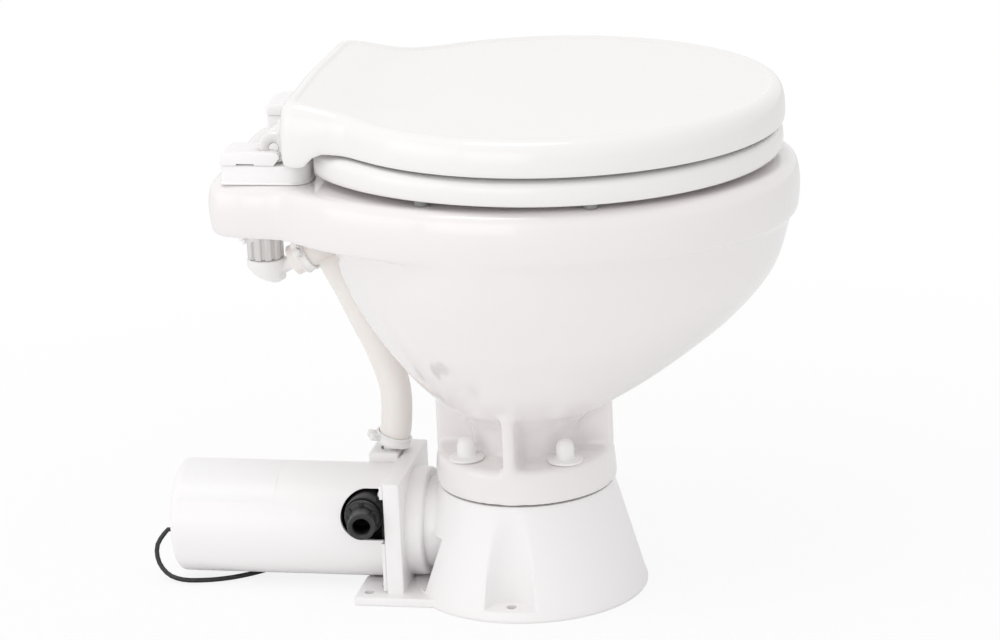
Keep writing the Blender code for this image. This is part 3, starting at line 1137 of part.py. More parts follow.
def motor():
    """Can, end bell, magnets and bearings, and all that turns with the shaft."""
    start = DISCHARGE_END + GAP + RINSE_L + GAP
    bearing_gap = BEARING_R + GAP
    lip = BEARING_R - BEARING_LIP
    bearing_at = CAN_FRONT_T / 2
    can_inner = CAN_R - CAN_WALL
    can = turned("motor_can", [
        (CAN_R, CAN_L), (CAN_R, 0), (SHAFT_R + RUN_GAP, 0), (SHAFT_R + RUN_GAP, bearing_at),
        (bearing_gap, bearing_at), (bearing_gap, bearing_at + BEARING_L + 2 * GAP),
        (BEARING_BOSS_R, bearing_at + BEARING_L + 2 * GAP), (BEARING_BOSS_R, CAN_FRONT_T),
        (can_inner, CAN_FRONT_T), (can_inner, CAN_L)], 28, on_axis(start), ring=True)
    bell_start = CAN_L + GAP
    inside = BELL_L - BELL_WALL
    seat = inside - BEARING_L - GAP
    bell = turned("motor_end_bell", [
        (0, BELL_L), (CAN_R - BELL_WALL, BELL_L), (CAN_R, BELL_L - BELL_WALL), (CAN_R, 0), (can_inner, 0),
        (can_inner, inside), (BEARING_BOSS_R, inside), (BEARING_BOSS_R, seat), (bearing_gap, seat),
        (bearing_gap, inside), (0, inside)], 28, on_axis(start + bell_start))
    inner_r = SHAFT_R + GAP
    bearings = [turned(f"bearing_{label}", [(BEARING_R, BEARING_L), (BEARING_R, 0), (inner_r, 0),
                                            (inner_r, BEARING_L)], 12, on_axis(at), ring=True)
                for label, at in (("front", start + bearing_at + GAP), ("rear", start + bell_start + seat))]
    magnet_out = can_inner - GAP
    magnets = turned("magnet_ring", [
        (magnet_out, MAGNET_L), (magnet_out, 0), (MAGNET_IN_R, 0), (MAGNET_IN_R, MAGNET_L)],
        28, on_axis(start + MAGNET_START), ring=True)
    shaft_end = start + bell_start + inside - GAP
    shaft = cylinder("motor_shaft", (0, CUTTER_Y - GAP, AXIS_Z), (0, shaft_end, AXIS_Z), SHAFT_R, sides=12)
    core_end = ARMATURE_L
    tail = core_end + COMMUTATOR_L
    armature = turned("armature", [
        (COMMUTATOR_R, tail), (COMMUTATOR_R, core_end), (ARMATURE_R, core_end), (ARMATURE_R, 0), (inner_r, 0),
        (inner_r, tail)], 20, on_axis(start + ARMATURE_START), ring=True)
    cutter = cylinder("macerator_cutter", (0, CUTTER_Y, AXIS_Z), (0, CUTTER_Y + 2 * CUTTER_T, AXIS_Z),
                      CUTTER_HUB_R, sides=16)
    fuse(cutter, box("cutter_blades", (-CUTTER_REACH, CUTTER_Y, AXIS_Z - CUTTER_BLADE_W / 2),
                     (CUTTER_REACH, CUTTER_Y + CUTTER_T, AXIS_Z + CUTTER_BLADE_W / 2), True,
                     CUTTER_BLADE_W / 3, 1, "Y"))
    cut(cutter, cylinder("cutter_bore", (0, CUTTER_Y - OVERRUN, AXIS_Z),
                         (0, CUTTER_Y + 2 * CUTTER_T + OVERRUN, AXIS_Z), inner_r, True, 12))
    impeller = turned("waste_impeller", [
        (0, IMPELLER_T + IMPELLER_VANE_H), (CUTTER_HUB_R, IMPELLER_T + IMPELLER_VANE_H),
        (CUTTER_HUB_R, IMPELLER_T), (IMPELLER_R, IMPELLER_T), (IMPELLER_R, 0), (0, 0)], 24, on_axis(IMPELLER_Y))
    rinse_y = DISCHARGE_END + GAP + RINSE_WALL + RUN_GAP
    rinse = cylinder("rinse_impeller", (0, rinse_y, AXIS_Z), (0, rinse_y + RINSE_IMPELLER_L, AXIS_Z),
                     RINSE_IMPELLER_HUB_R, sides=16)
    for wheel, count, reach, thick, low, high in (
            (impeller, IMPELLER_VANES, IMPELLER_R - GAP, IMPELLER_VANE_T, IMPELLER_Y + IMPELLER_T / 2,
             IMPELLER_Y + IMPELLER_T + IMPELLER_VANE_H),
            (rinse, RINSE_IMPELLER_VANES, RINSE_IMPELLER_R, RINSE_IMPELLER_VANE_T, rinse_y,
             rinse_y + RINSE_IMPELLER_L)):
        for i in range(count):
            vane = box(f"{wheel.name}_vane_{i + 1}", (CUTTER_HUB_R / 2, low, -thick / 2),
                       (reach, high, thick / 2), True)
            vane.matrix_world = (Matrix.Translation((0, 0, AXIS_Z))
                                 @ Matrix.Rotation(2 * pi * i / count, 4, "Y") @ vane.matrix_world)
            fuse(wheel, vane)
        cut(wheel, cylinder(f"{wheel.name}_bore", (0, low - OVERRUN, AXIS_Z), (0, high + OVERRUN, AXIS_Z),
                            inner_r, True, 12))
    paint(steel, can, bell, shaft, cutter, *bearings)
    paint(magnet, magnets)
    paint(copper, armature)
    paint(black, impeller)
    paint(rubber, rinse)


def motor_cover():
    """White tube with a closed round end, a thin square flange, side windows and a port hump."""
    start = PLATE_REAR + GAP
    length = COVER_SHELL_END - start
    r, wall, fillet = COVER_SHELL_R, COVER_SHELL_WALL, COVER_SHELL_ROUND
    turn = [radians(90 - 30 * k) for k in range(4)]
    outer = [(r - fillet + fillet * cos(t), length - fillet + fillet * sin(t)) for t in turn]
    small = fillet - wall
    inner = [(r - fillet + small * cos(t), length - fillet + small * sin(t)) for t in reversed(turn)]
    cover = turned("motor_cover", [(0, length), *outer, (r, 0), (r - wall, 0), *inner, (0, length - wall)],
                   36, on_axis(start))
    plate = box("flange_plate", (-FLANGE_PLATE_HALF_W, start, FLANGE_PLATE_BOTTOM),
                (FLANGE_PLATE_HALF_W, start + FLANGE_PLATE_T, FLANGE_PLATE_TOP), True,
                FLANGE_PLATE_ROUND, 3, "Y")
    cut(plate, cylinder("flange_eye", (0, start - OVERRUN, AXIS_Z), (0, start + 2 * OVERRUN, AXIS_Z),
                        r - wall / 2, True, 36))
    hump_low = AXIS_Z + HUMP_LOW_UP
    port = Vector(RINSE_TUBE_TOP)
    hump = box("port_hump", (port.x - HUMP_HALF_W, start + FLANGE_PLATE_T / 2, hump_low),
               (port.x + HUMP_HALF_W, HUMP_Y_END, HUMP_TOP), True, HUMP_ROUND, 2, "Z")
    cut(hump, cylinder("hump_clear", (0, start - OVERRUN, AXIS_Z), (0, HUMP_Y_END + OVERRUN, AXIS_Z),
                       r - wall / 3, True, 32))
    fuse(cover, plate, hump)
    way = (Vector(HOSE_ROUTE[-1]) - port).normalized()
    window_y = OUTLET_BOSS_Y
    arch = [radians(90 - 15 * k) for k in range(13)]
    window = [(window_y + WINDOW_R * cos(t), OUTLET_BOSS_Z + WINDOW_R * sin(t)) for t in arch]
    window += [(start - OVERRUN, OUTLET_BOSS_Z - WINDOW_R), (start - OVERRUN, OUTLET_BOSS_Z + WINDOW_R)]
    cut(cover,
        loft("side_window", [[(x, y, z) for y, z in window] for x in (-r - 3 * OVERRUN, -r / 2)], True),
        box("hump_hollow", (port.x - HUMP_HALF_W + wall, start + FLANGE_PLATE_T, hump_low + wall),
            (port.x + HUMP_HALF_W - wall, HUMP_Y_END - wall, HUMP_TOP - wall), True),
        cylinder("intake_window", (r / 2, INTAKE_Y, AXIS_Z), (r + OVERRUN, INTAKE_Y, AXIS_Z),
                 INTAKE_R + 2 * RUN_GAP, True, 16),
        cylinder("port_window", port - way * (3 * RINSE_TUBE_R), port + way * OVERRUN,
                 RINSE_TUBE_R + 3 * RUN_GAP, True, 16),
        cylinder("cord_hole", (0, COVER_SHELL_END - 2 * OVERRUN, CORD_EXIT_Z),
                 (0, COVER_SHELL_END + OVERRUN, CORD_EXIT_Z), GROMMET_NECK_R + GAP, True, 12))
    head = start + FLANGE_PLATE_T + GAP
    for i, (x, z) in enumerate(COVER_SCREW_SPOTS):
        cut(cover, cylinder(f"flange_hole_{i + 11}", (x, start - OVERRUN, z), (x, head + OVERRUN, z),
                            SCREW_R + GAP, True, 8))
        screw = turned(f"cover_screw_{i + 1}", [
            (0, SCREW_HEAD_H), (SCREW_HEAD_R * 0.7, SCREW_HEAD_H), (SCREW_HEAD_R, SCREW_HEAD_H / 3),
            (SCREW_HEAD_R, 0), (SCREW_R, 0), (SCREW_R, -SCREW_L), (0, -SCREW_L)], 8,
            along((x, head, z), (0, 1, 0)))
        paint(steel, screw)
    grommet = turned("cord_grommet", [
        (0, GROMMET_T + GROMMET_NOSE), (CORD_R + RUN_GAP, GROMMET_T + GROMMET_NOSE), (GROMMET_R * 0.75, GROMMET_T),
        (GROMMET_R, GROMMET_T * 0.7), (GROMMET_R, 0), (GROMMET_NECK_R, 0), (GROMMET_NECK_R, -GROMMET_T), (0, -GROMMET_T)],
        14, along((0, COVER_SHELL_END + GAP, CORD_EXIT_Z), (0, 1, 0)))
    paint(white, cover)
    paint(rubber, grommet)


def coil_points():
    """Two layers of loops: the spiral winds in, climbs a layer as it reverses, and winds out."""
    low = CORD_FLOOR + CORD_R
    turns = COIL_TURNS_A_LAYER
    count = COIL_POINTS_A_TURN
    points = []
    for i in range(int(COIL_LAYERS * turns * count) + 1):
        done = i / count
        layer_done = done % turns if done < COIL_LAYERS * turns else turns
        layer = min(int(done // turns), COIL_LAYERS - 1)
        inward = layer % 2 == 0
        radius = COIL_OUT_R - COIL_PITCH * (layer_done if inward else turns - layer_done)
        climb = ease(done - turns, -0.25, 0.25)
        angle = COIL_START_ANGLE + 2 * pi * done
        points.append(Vector((COIL_X + radius * cos(angle), COIL_Y + radius * sin(angle),
                              low + COIL_LAYER * climb)))
    return points


COIL_START_ANGLE = radians(250)


def cord():
    """The thin lead: a free stretch, the put-away coil and a boot that splits into two bare leads."""
    loops = coil_points()
    start_way = (loops[1] - loops[0]).normalized()
    end_way = (loops[-1] - loops[-2]).normalized()
    start_way.z = end_way.z = 0
    loops = [loops[0] - start_way * CORD_TIP, *loops, loops[-1] + end_way * CORD_TIP]
    reach = 2 * pi * COIL_OUT_R / 3
    gaps = [(p - q).length for i, p in enumerate(loops) for j, q in enumerate(loops)
            if j > i and j - i > COIL_POINTS_A_TURN * reach / (2 * pi * COIL_OUT_R)]
    least = min(gaps) - 2 * CORD_R
    print("coil: least gap to itself", round(least * 1000, 2), "mm, asked", COIL_LEAST_GAP * 1000)
    coil = tube("cord_coil", loops, CORD_R, 1)
    exit_y = COVER_SHELL_END + GAP + GROMMET_T + GROMMET_NOSE + GAP
    first = Vector((0, exit_y, CORD_EXIT_Z))
    meet = loops[0] - start_way * GAP
    route = smooth_route([first, first + Vector((0, CORD_TIP, 0)), *LEAD_ROUTE[1:],
                          meet - start_way * CORD_TIP, meet], 5 * CORD_R)
    free = tube("cord_lead", route, CORD_R, 2)
    length = sum((q - p).length for p, q in zip(route, route[1:]))
    wound = sum((q - p).length for p, q in zip(loops, loops[1:]))
    print("cord: free", round(length, 4), "m, coil", round(wound, 4), "m")
    begin = loops[-1] + end_way * GAP
    tail = cylinder("cord_tail", begin, begin + end_way * BOOT_L, CORD_R + RUN_GAP, sides=12, end_radius=BOOT_R)
    across = Vector((-end_way.y, end_way.x, 0))
    for sign, label in ((-1, "minus"), (1, "plus")):
        a = begin + end_way * (BOOT_L - OVERRUN) + across * sign * LEAD_R * 1.1
        drop = Vector((0, 0, begin.z - CORD_FLOOR - 1.5 * LEAD_R))
        b = a + end_way * (LEAD_L / 2) + across * sign * LEAD_SPREAD / 2 - drop
        c = a + end_way * LEAD_L + across * sign * LEAD_SPREAD - drop
        fuse(tail, tube(f"bare_lead_{label}", smooth_route([a, b, c], 4 * LEAD_R), LEAD_R, 1, True, True))
    paint(rubber, coil, free, tail)


pedestal_base()
bowl_seal()
ceramic_bowl()
foot_bolts()
toilet_seat()
toilet_lid()
bumpers()
hinges()
water_inlet()
discharge()
rinse_pump()
motor()
motor_cover()
cord()
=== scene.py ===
from math import cos, hypot, pi, radians, sin
import bmesh
import bpy
import numpy as np
from mathutils import Matrix, Vector


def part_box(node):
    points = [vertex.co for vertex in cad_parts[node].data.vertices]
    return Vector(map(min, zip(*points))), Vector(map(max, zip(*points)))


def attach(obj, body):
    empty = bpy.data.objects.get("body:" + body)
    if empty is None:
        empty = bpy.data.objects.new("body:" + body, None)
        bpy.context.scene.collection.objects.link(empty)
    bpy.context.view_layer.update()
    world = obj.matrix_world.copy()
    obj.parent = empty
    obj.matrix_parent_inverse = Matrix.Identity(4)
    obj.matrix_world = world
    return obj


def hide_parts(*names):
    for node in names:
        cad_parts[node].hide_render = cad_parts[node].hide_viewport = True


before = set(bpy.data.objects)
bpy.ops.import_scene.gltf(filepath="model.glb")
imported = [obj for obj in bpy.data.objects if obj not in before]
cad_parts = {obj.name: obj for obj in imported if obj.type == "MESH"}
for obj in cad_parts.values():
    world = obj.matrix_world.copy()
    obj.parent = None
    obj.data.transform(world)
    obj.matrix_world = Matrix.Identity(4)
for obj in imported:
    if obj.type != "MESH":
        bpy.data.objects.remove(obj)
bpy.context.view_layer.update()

# Camera
# A long lens some 3.8 m from the left side of the toilet, 18 degrees above it and turned 12
# degrees towards the hinge end, as the product was photographed.
TURN, TILT, ROLL = radians(11.89), radians(17.6), radians(-2.54)
AIM = Vector((0.0, 0.0169, 0.2295))
AWAY, SIGHT = 3.76, 40
SENSOR_MM, FOCAL_PX, FRAME_PX = 36, 4566, 1000
forward = Vector((cos(TILT) * cos(TURN), cos(TILT) * sin(TURN), -sin(TILT)))
level = Vector((sin(TURN), -cos(TURN), 0))
upright = level.cross(forward)
right = level * cos(ROLL) + upright * sin(ROLL)
up = upright * cos(ROLL) - level * sin(ROLL)
camera = bpy.data.objects.new("camera", bpy.data.cameras.new("camera"))
camera.data.sensor_width = SENSOR_MM
camera.data.lens = FOCAL_PX * SENSOR_MM / FRAME_PX
camera.data.clip_end = SIGHT
turned = Matrix((right, up, -forward)).transposed().to_4x4()
camera.matrix_world = Matrix.Translation(AIM - forward * AWAY) @ turned
bpy.context.scene.collection.objects.link(camera)
bpy.context.scene.camera = camera

# Light
# A pale surround gives most of the light. A soft box overhead, one on the left and one low behind
# the motor only model the curves and leave their soft highlights on the glaze.
WHITE = (1, 1, 1, 1)
SURROUND = 0.80
scene = bpy.context.scene
scene.view_settings.view_transform = "Standard"
world = bpy.data.worlds.new("pale_surround")
world.use_nodes = True
scene.world = world


def preset(node, values):
    for socket, value in values.items():
        node.inputs[socket].default_value = value


def wired(links, *wires):
    """Links given as (from node, its output, to node, its input)."""
    for start, leaves, end, enters in wires:
        links.new(start.outputs[leaves], end.inputs[enters])


sky = world.node_tree.nodes
sky.clear()
path = sky.new("ShaderNodeLightPath")
seen = sky.new("ShaderNodeBackground")
preset(seen, {"Color": WHITE, "Strength": 1.0})
lit = sky.new("ShaderNodeBackground")
preset(lit, {"Color": WHITE, "Strength": SURROUND})
either = sky.new("ShaderNodeMath")
either.operation = "MAXIMUM"
any_seen = sky.new("ShaderNodeMath")
any_seen.operation = "MAXIMUM"
choice = sky.new("ShaderNodeMixShader")
out = sky.new("ShaderNodeOutputWorld")
wired(world.node_tree.links,
      (path, "Is Camera Ray", either, 0), (path, "Is Transmission Ray", either, 1),
      (either, 0, any_seen, 0), (path, "Is Glossy Ray", any_seen, 1), (any_seen, 0, choice, 0),
      (lit, 0, choice, 1), (seen, 0, choice, 2), (choice, 0, out, 0))


def soft_box(name, spot, size, watts):
    """A square lamp that looks at the middle of the toilet."""
    lamp = bpy.data.lights.new(name, "AREA")
    lamp.shape = "SQUARE"
    lamp.size = size
    lamp.energy = watts
    box = bpy.data.objects.new(name, lamp)
    box.location = spot
    box.rotation_euler = (AIM - Vector(spot)).to_track_quat("-Z", "Y").to_euler()
    scene.collection.objects.link(box)


soft_box("top_soft_box", (-0.9, 0.4, 3.0), 1.2, 16)
soft_box("left_soft_box", (-3.0, 0.8, 0.4), 1.6, 8)
soft_box("rear_soft_box", (-1.9, 2.3, 0.5), 1.9, 8)

# Floor
# A seamless white sheet under and behind the toilet. Seen directly it is plain white further off,
# and close to the toilet a part of it takes the faint shadow.
SHEET_HALF, SHEET_DROP = 9, 0.0002
PAPER = (0.93, 0.93, 0.93, 1)
sheet = bpy.data.materials.new("white_paper_floor")
sheet.use_nodes = True
nodes = sheet.node_tree.nodes
paper = nodes["Principled BSDF"]
preset(paper, {"Base Color": PAPER, "Roughness": 0.9, "Specular IOR Level": 0.1})
glow = nodes.new("ShaderNodeEmission")
preset(glow, {"Color": WHITE, "Strength": 1.0})
ray = nodes.new("ShaderNodeLightPath")
place = nodes.new("ShaderNodeTexCoord")
halo = nodes.new("ShaderNodeTexGradient")
halo.gradient_type = "SPHERICAL"
fade = nodes.new("ShaderNodeMapRange")
preset(fade, {"From Min": 0.05, "From Max": 0.55, "To Min": 1.0, "To Max": 0.84})
share = nodes.new("ShaderNodeMath")
share.operation = "MULTIPLY"
mix = nodes.new("ShaderNodeMixShader")
wired(sheet.node_tree.links,
      (place, "Object", halo, "Vector"), (halo, "Fac", fade, "Value"), (fade, "Result", share, 1),
      (ray, "Is Camera Ray", share, 0), (share, 0, mix, 0), (paper, 0, mix, 1), (glow, 0, mix, 2),
      (mix, 0, nodes["Material Output"], 0))
mesh = bpy.data.meshes.new("floor")
corners = [(x * SHEET_HALF, y * SHEET_HALF, 0) for x, y in ((-1, -1), (1, -1), (1, 1), (-1, 1))]
mesh.from_pydata(corners, [], [(0, 1, 2, 3)])
mesh.materials.append(sheet)
floor = bpy.data.objects.new("floor", mesh)
floor.location.z = -SHEET_DROP
scene.collection.objects.link(floor)

# Supply lead
# A thin round two-core lead with a black jacket. It leaves the closed end of the motor cover
# through a rubber grommet, drops to the floor, runs back under the cover and lies coiled behind.
LEAD_R = 0.0020
LEAD_EXIT = Vector((0, 0.3076, 0.0370))
LEAD_KNOTS = (
    (-0.0110, 0.3195, 0.0270), (-0.0190, 0.3170, 0.0150), (-0.0250, 0.3075, 0.0060),
    (-0.0275, 0.2950, 0.0026), (-0.0270, 0.2800, 0.0022), (-0.0220, 0.2620, 0.0022),
    (-0.0120, 0.2450, 0.0022), (0.0030, 0.2290, 0.0022), (0.0220, 0.2160, 0.0022),
    (0.0420, 0.2045, 0.0022), (0.0620, 0.1950, 0.0022),
)
COIL_MIDDLE = (0.1050, 0.2080)
COIL_R, COIL_STEP, COIL_RISE, COIL_TURNS = 0.0275, 0.0046, 0.0046, 2
COIL_FROM, COIL_POINTS = radians(250), 40
COIL_LIFT, COIL_CLIMB = 0.0001, 0.25
LEAD_STRAIGHT, LEAD_SPACING = 0.0050, 0.0055


def eased(value, start, end):
    t = min(1.0, max(0.0, (value - start) / (end - start)))
    return t * t * (3 - 2 * t)


def smooth_line(knots, spacing, fineness=24):
    """Even points on a smooth curve through the knots; both end stretches stay straight."""
    given = [Vector(p) for p in knots]
    fine = []
    for a, b, c, d in zip(given, given[1:], given[2:], given[3:]):
        for t in np.linspace(0, 1, fineness, endpoint=False):
            fine.append(0.5 * (2 * b + (c - a) * t + (2 * a - 5 * b + 4 * c - d) * t**2
                               + (3 * b - a - 3 * c + d) * t**3))
    fine.append(given[-2])
    along = [0.0, *np.cumsum([(q - p).length for p, q in zip(fine, fine[1:])])]
    wanted = np.linspace(0, along[-1], round(along[-1] / spacing) + 1)
    middle = [Vector([np.interp(s, along, [p[k] for p in fine]) for k in range(3)]) for s in wanted]
    return [given[0], *middle, given[-1]]


def coil_line(points_a_turn):
    """The turns put away: in on the floor, up one lead where the spiral reverses, out on top."""
    points = []
    for i in range(2 * COIL_TURNS * points_a_turn + 1):
        done = i / points_a_turn
        layer_done = done if done <= COIL_TURNS else 2 * COIL_TURNS - done
        r = COIL_R - COIL_STEP * layer_done
        angle = COIL_FROM + 2 * pi * done
        climb = eased(done - COIL_TURNS, -COIL_CLIMB, COIL_CLIMB)
        points.append(Vector((COIL_MIDDLE[0] + r * cos(angle), COIL_MIDDLE[1] + r * sin(angle),
                              LEAD_R + COIL_LIFT + COIL_RISE * climb)))
    return points


def speckled(name, colour, other, roughness, grain, depth, spread=0.04, patch=0.06, strength=0.25,
             sockets=None):
    """A material whose colour and gloss drift in broad patches over a fine moulded grain."""
    made = bpy.data.materials.new(name)
    made.use_nodes = True
    nodes = made.node_tree.nodes
    shader = nodes["Principled BSDF"]
    where = nodes.new("ShaderNodeTexCoord")
    broad = nodes.new("ShaderNodeTexNoise")
    preset(broad, {"Scale": 1 / patch, "Detail": 3})
    fine = nodes.new("ShaderNodeTexNoise")
    preset(fine, {"Scale": 1 / grain, "Detail": 2})
    tint = nodes.new("ShaderNodeMix")
    tint.data_type = "RGBA"
    preset(tint, {"A": (*colour, 1), "B": (*other, 1)})
    gloss = nodes.new("ShaderNodeMapRange")
    preset(gloss, {"From Min": 0.3, "From Max": 0.7,
                   "To Min": roughness - spread, "To Max": roughness + spread})
    bump = nodes.new("ShaderNodeBump")
    preset(bump, {"Strength": strength, "Distance": depth})
    wired(made.node_tree.links,
          (where, "Object", broad, "Vector"), (where, "Object", fine, "Vector"),
          (broad, "Fac", tint, "Factor"), (tint, "Result", shader, "Base Color"),
          (broad, "Fac", gloss, "Value"), (gloss, "Result", shader, "Roughness"),
          (fine, "Fac", bump, "Height"), (bump, "Normal", shader, "Normal"))
    preset(shader, sockets or {})
    return made


def mesh_from(name, bm, sharp_deg=38):
    bmesh.ops.recalc_face_normals(bm, faces=bm.faces)
    mesh = bpy.data.meshes.new(name)
    bm.to_mesh(mesh)
    bm.free()
    mesh.shade_smooth()
    mesh.set_sharp_from_angle(angle=radians(sharp_deg))
    return mesh


def skin(name, rings, loop=False, sharp_deg=38):
    """A closed skin through rings of points; a ring of one point closes an end to a tip."""
    bm = bmesh.new()
    rows = [[bm.verts.new(p) for p in ring] for ring in rings]
    pairs = list(zip(rows, rows[1:])) + ([(rows[-1], rows[0])] if loop else [])
    for low, high in pairs:
        for i in range(max(len(low), len(high))):
            j = (i + 1) % max(len(low), len(high))
            if len(low) == 1:
                bm.faces.new((low[0], high[j], high[i]))
            elif len(high) == 1:
                bm.faces.new((low[i], low[j], high[0]))
            else:
                bm.faces.new((low[i], low[j], high[j], high[i]))
    if not loop:
        for row in (rows[0], rows[-1]):
            if len(row) > 1:
                bm.faces.new(row)
    made = bpy.data.objects.new(name, mesh_from(name, bm, sharp_deg))
    scene.collection.objects.link(made)
    return made


def hoops(line, radius, sides):
    """Rings square to a line; radius is one value or one for each point."""
    line = [Vector(p) for p in line]
    ways = [(line[min(i + 1, len(line) - 1)] - line[max(i - 1, 0)]).normalized()
            for i in range(len(line))]
    side = ways[0].orthogonal().normalized()
    rings = []
    for i, (spot, way) in enumerate(zip(line, ways)):
        side = (side - way * side.dot(way)).normalized()
        over = way.cross(side)
        r = radius[i] if isinstance(radius, (list, tuple)) else radius
        rings.append([spot + (side * cos(2 * pi * k / sides) + over * sin(2 * pi * k / sides)) * r
                      for k in range(sides)])
    return rings


def belongs(piece, body, slot, material, *nodes):
    """The piece rides on a body, takes its material, and stands for the named nodes; its slot is not
    used.
    """
    piece.data.materials.clear()
    piece.data.materials.append(material)
    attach(piece, body)
    if nodes:
        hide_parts(*nodes)


def dress(material, *nodes):
    """CAD pieces whose shape is right get only their finish."""
    for node in nodes:
        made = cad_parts[node]
        made.data.materials.clear()
        made.data.materials.append(material)


jacket = speckled("lead_jacket", (0.012, 0.012, 0.013), (0.022, 0.021, 0.021),
                  roughness=0.42, grain=0.0009, depth=0.00005, spread=0.06, patch=0.02)
turns = coil_line(COIL_POINTS)
into_coil = (turns[1] - turns[0]).normalized()
into_coil.z = 0
meet = turns[0] - into_coil * LEAD_STRAIGHT
free = smooth_line([LEAD_EXIT, LEAD_EXIT + Vector((0, LEAD_STRAIGHT, 0)), *LEAD_KNOTS,
                    meet - into_coil * LEAD_STRAIGHT, meet], LEAD_SPACING)
out_of_coil = (turns[-1] - turns[-2]).normalized()
out_of_coil.z = 0
lead_points = [*free, *turns, turns[-1] + out_of_coil * LEAD_STRAIGHT]
curve = bpy.data.curves.new("supply_lead", "CURVE")
curve.dimensions = "3D"
curve.bevel_depth = LEAD_R
curve.bevel_resolution = 4
curve.use_fill_caps = True
spline = curve.splines.new("POLY")
spline.points.add(len(lead_points) - 1)
for knot, spot in zip(spline.points, lead_points):
    knot.co = (*spot, 1)
lead = bpy.data.objects.new("supply_lead", curve)
scene.collection.objects.link(lead)
belongs(lead, "toilet", "black_rubber", jacket, "cord_lead", "cord_coil")

# End of the lead
# A short tapered boot is moulded on the jacket where it is stripped, and the two cores leave it
# side by side, one red and one black, ready for the boat's own terminals.
BOOT_L, BOOT_RADII = 0.0140, [0.0025, 0.0031, 0.0034, 0.0034, 0.0033, 0.0031, 0.0028, 0.0024]
CORE_R, CORE_FROM, CORE_STRAIGHT, CORE_SPACING = 0.0012, (0.0100, 0.0013), 0.006, 0.003
CORE_BEND, CORE_TIP = (0.0225, 0.0040), (0.0450, 0.0080)
CORE_LOW = 0.0019
boot_start = lead_points[-1]
boot_line = [boot_start + out_of_coil * s for s in np.linspace(0, BOOT_L, len(BOOT_RADII))]
boot = skin("lead_boot", hoops(boot_line, BOOT_RADII, 24))
belongs(boot, "toilet", "black_rubber", jacket, "cord_tail")
red = speckled("red_core", (0.45, 0.02, 0.02), (0.38, 0.015, 0.015),
               roughness=0.4, grain=0.0006, depth=0.00003)
across = Vector((-out_of_coil.y, out_of_coil.x, 0))
for sign, core_name, finish in ((-1, "core_black", jacket), (1, "core_red", red)):
    start = boot_start + out_of_coil * CORE_FROM[0] + across * sign * CORE_FROM[1]
    drop = Vector((0, 0, start.z - CORE_LOW))
    bend = start + out_of_coil * CORE_BEND[0] + across * sign * CORE_BEND[1] - drop
    tip = start + out_of_coil * CORE_TIP[0] + across * sign * CORE_TIP[1] - drop
    line = smooth_line([start, start + out_of_coil * CORE_STRAIGHT, bend, tip - (tip - bend) * 0.2,
                        tip], CORE_SPACING)
    core = skin(core_name, hoops(line, CORE_R, 12))
    belongs(core, "toilet", "black_rubber", finish)
length = sum((q - p).length for p, q in zip(lead_points, lead_points[1:]))

# Bowl
# One piece of slip-cast vitreous china: foot flange, ribbed neck, egg-shaped belly and a rolled
# rim band that runs back into the hinge shelf, glazed all over in white.
PAST = 0.0040  # how far a cutting tool runs past the face that it cuts
GLAZE_TOP = 0.3700
BAND_LOW = 0.3255
FOOT_LOW, FOOT_TOP = 0.0935, 0.1225
FOOT_EDGE = (
    (0.0745, FOOT_LOW), (0.0755, FOOT_LOW + 0.0030), (0.0738, FOOT_TOP - 0.0030),
    (0.0708, FOOT_TOP),
)
NECK_R = 0.0425
# Half width, reach to the front and reach to the rear of the belly, then its height share with its
# shares of the front, the rear and the half width
BELLY = (0.1690, 0.2270, 0.1530)
BELLY_SHARES = (
    (0.105, 0.208, 0.300, 0.272), (0.165, 0.262, 0.368, 0.332), (0.213, 0.338, 0.453, 0.402),
    (0.320, 0.492, 0.584, 0.537), (0.461, 0.662, 0.719, 0.689), (0.599, 0.805, 0.826, 0.815),
    (0.780, 0.935, 0.934, 0.935), (1.000, 1.000, 1.000, 1.000),
)
BAND = (0.1720, 0.2237, 0.2300)
SHELF = (0.1050, 0.2470)
MOUTH = (0.1280, 0.1780, 0.1080)
# Inset and height up the rolled band, then growth and height up the mouth
BAND_ROLL = (
    (0.0060, BAND_LOW), (0.0026, BAND_LOW + 0.0012), (0.0018, BAND_LOW + 0.0045),
    (0, BAND_LOW + 0.0222), (0.0011, GLAZE_TOP - 0.0090), (0.0030, GLAZE_TOP - 0.0030),
    (0.0090, GLAZE_TOP),
)
MOUTH_ROLL = (
    (0, 0.3280), (0, GLAZE_TOP - 0.0060), (0.0006, GLAZE_TOP - 0.0035),
    (0.0024, GLAZE_TOP - 0.0011), (0.0050, GLAZE_TOP), (0.0050, GLAZE_TOP + PAST),
)
BELLY_END_Z, HOLLOW_END_Z = 0.345, 0.3230
CHINA_T = 0.0110
OUTLET_R, OUTLET_TOP = 0.0210, 0.1500
RIB_LOW, RIB_HIGH = (0.0210, -0.0052, FOOT_TOP - 0.0040), (0.0745, 0.0052, FOOT_TOP + 0.0535)
RIB_ROUND = 0.0025
INLET_BOSS_R, INLET_BOSS_L = 0.0195, 0.0165
FLANGE_HOLE_R, FLANGE_HOLE_Z = 0.0048, (0.089, 0.127)
SHELF_HOLE_R, SHELF_HOLE_Z = 0.0050, (0.32, 0.375)
INLET_HOLE_R, INLET_HOLE_Z = 0.0095, (0.30, 0.349)
BOWL_MIDDLE_Y = -0.0100
GLAZE_VOXEL = 0.0024
BOLT_CIRCLE = 0.0585
BOLT_SPOTS = [(BOLT_CIRCLE * cos(radians(45 + 90 * i)), BOLT_CIRCLE * sin(radians(45 + 90 * i)))
              for i in range(4)]
HINGE_BOLT = (0.0770, 0.2060)
SPUD_Y = 0.2125


def egg(angle, sizes, grow=0):
    """Reach of an egg outline from its middle; angle 0 looks to the front."""
    wide, front, rear = [size + grow for size in sizes]
    ahead = cos(angle)
    return 1 / hypot(sin(angle) / wide, ahead / (front if ahead > 0 else rear))


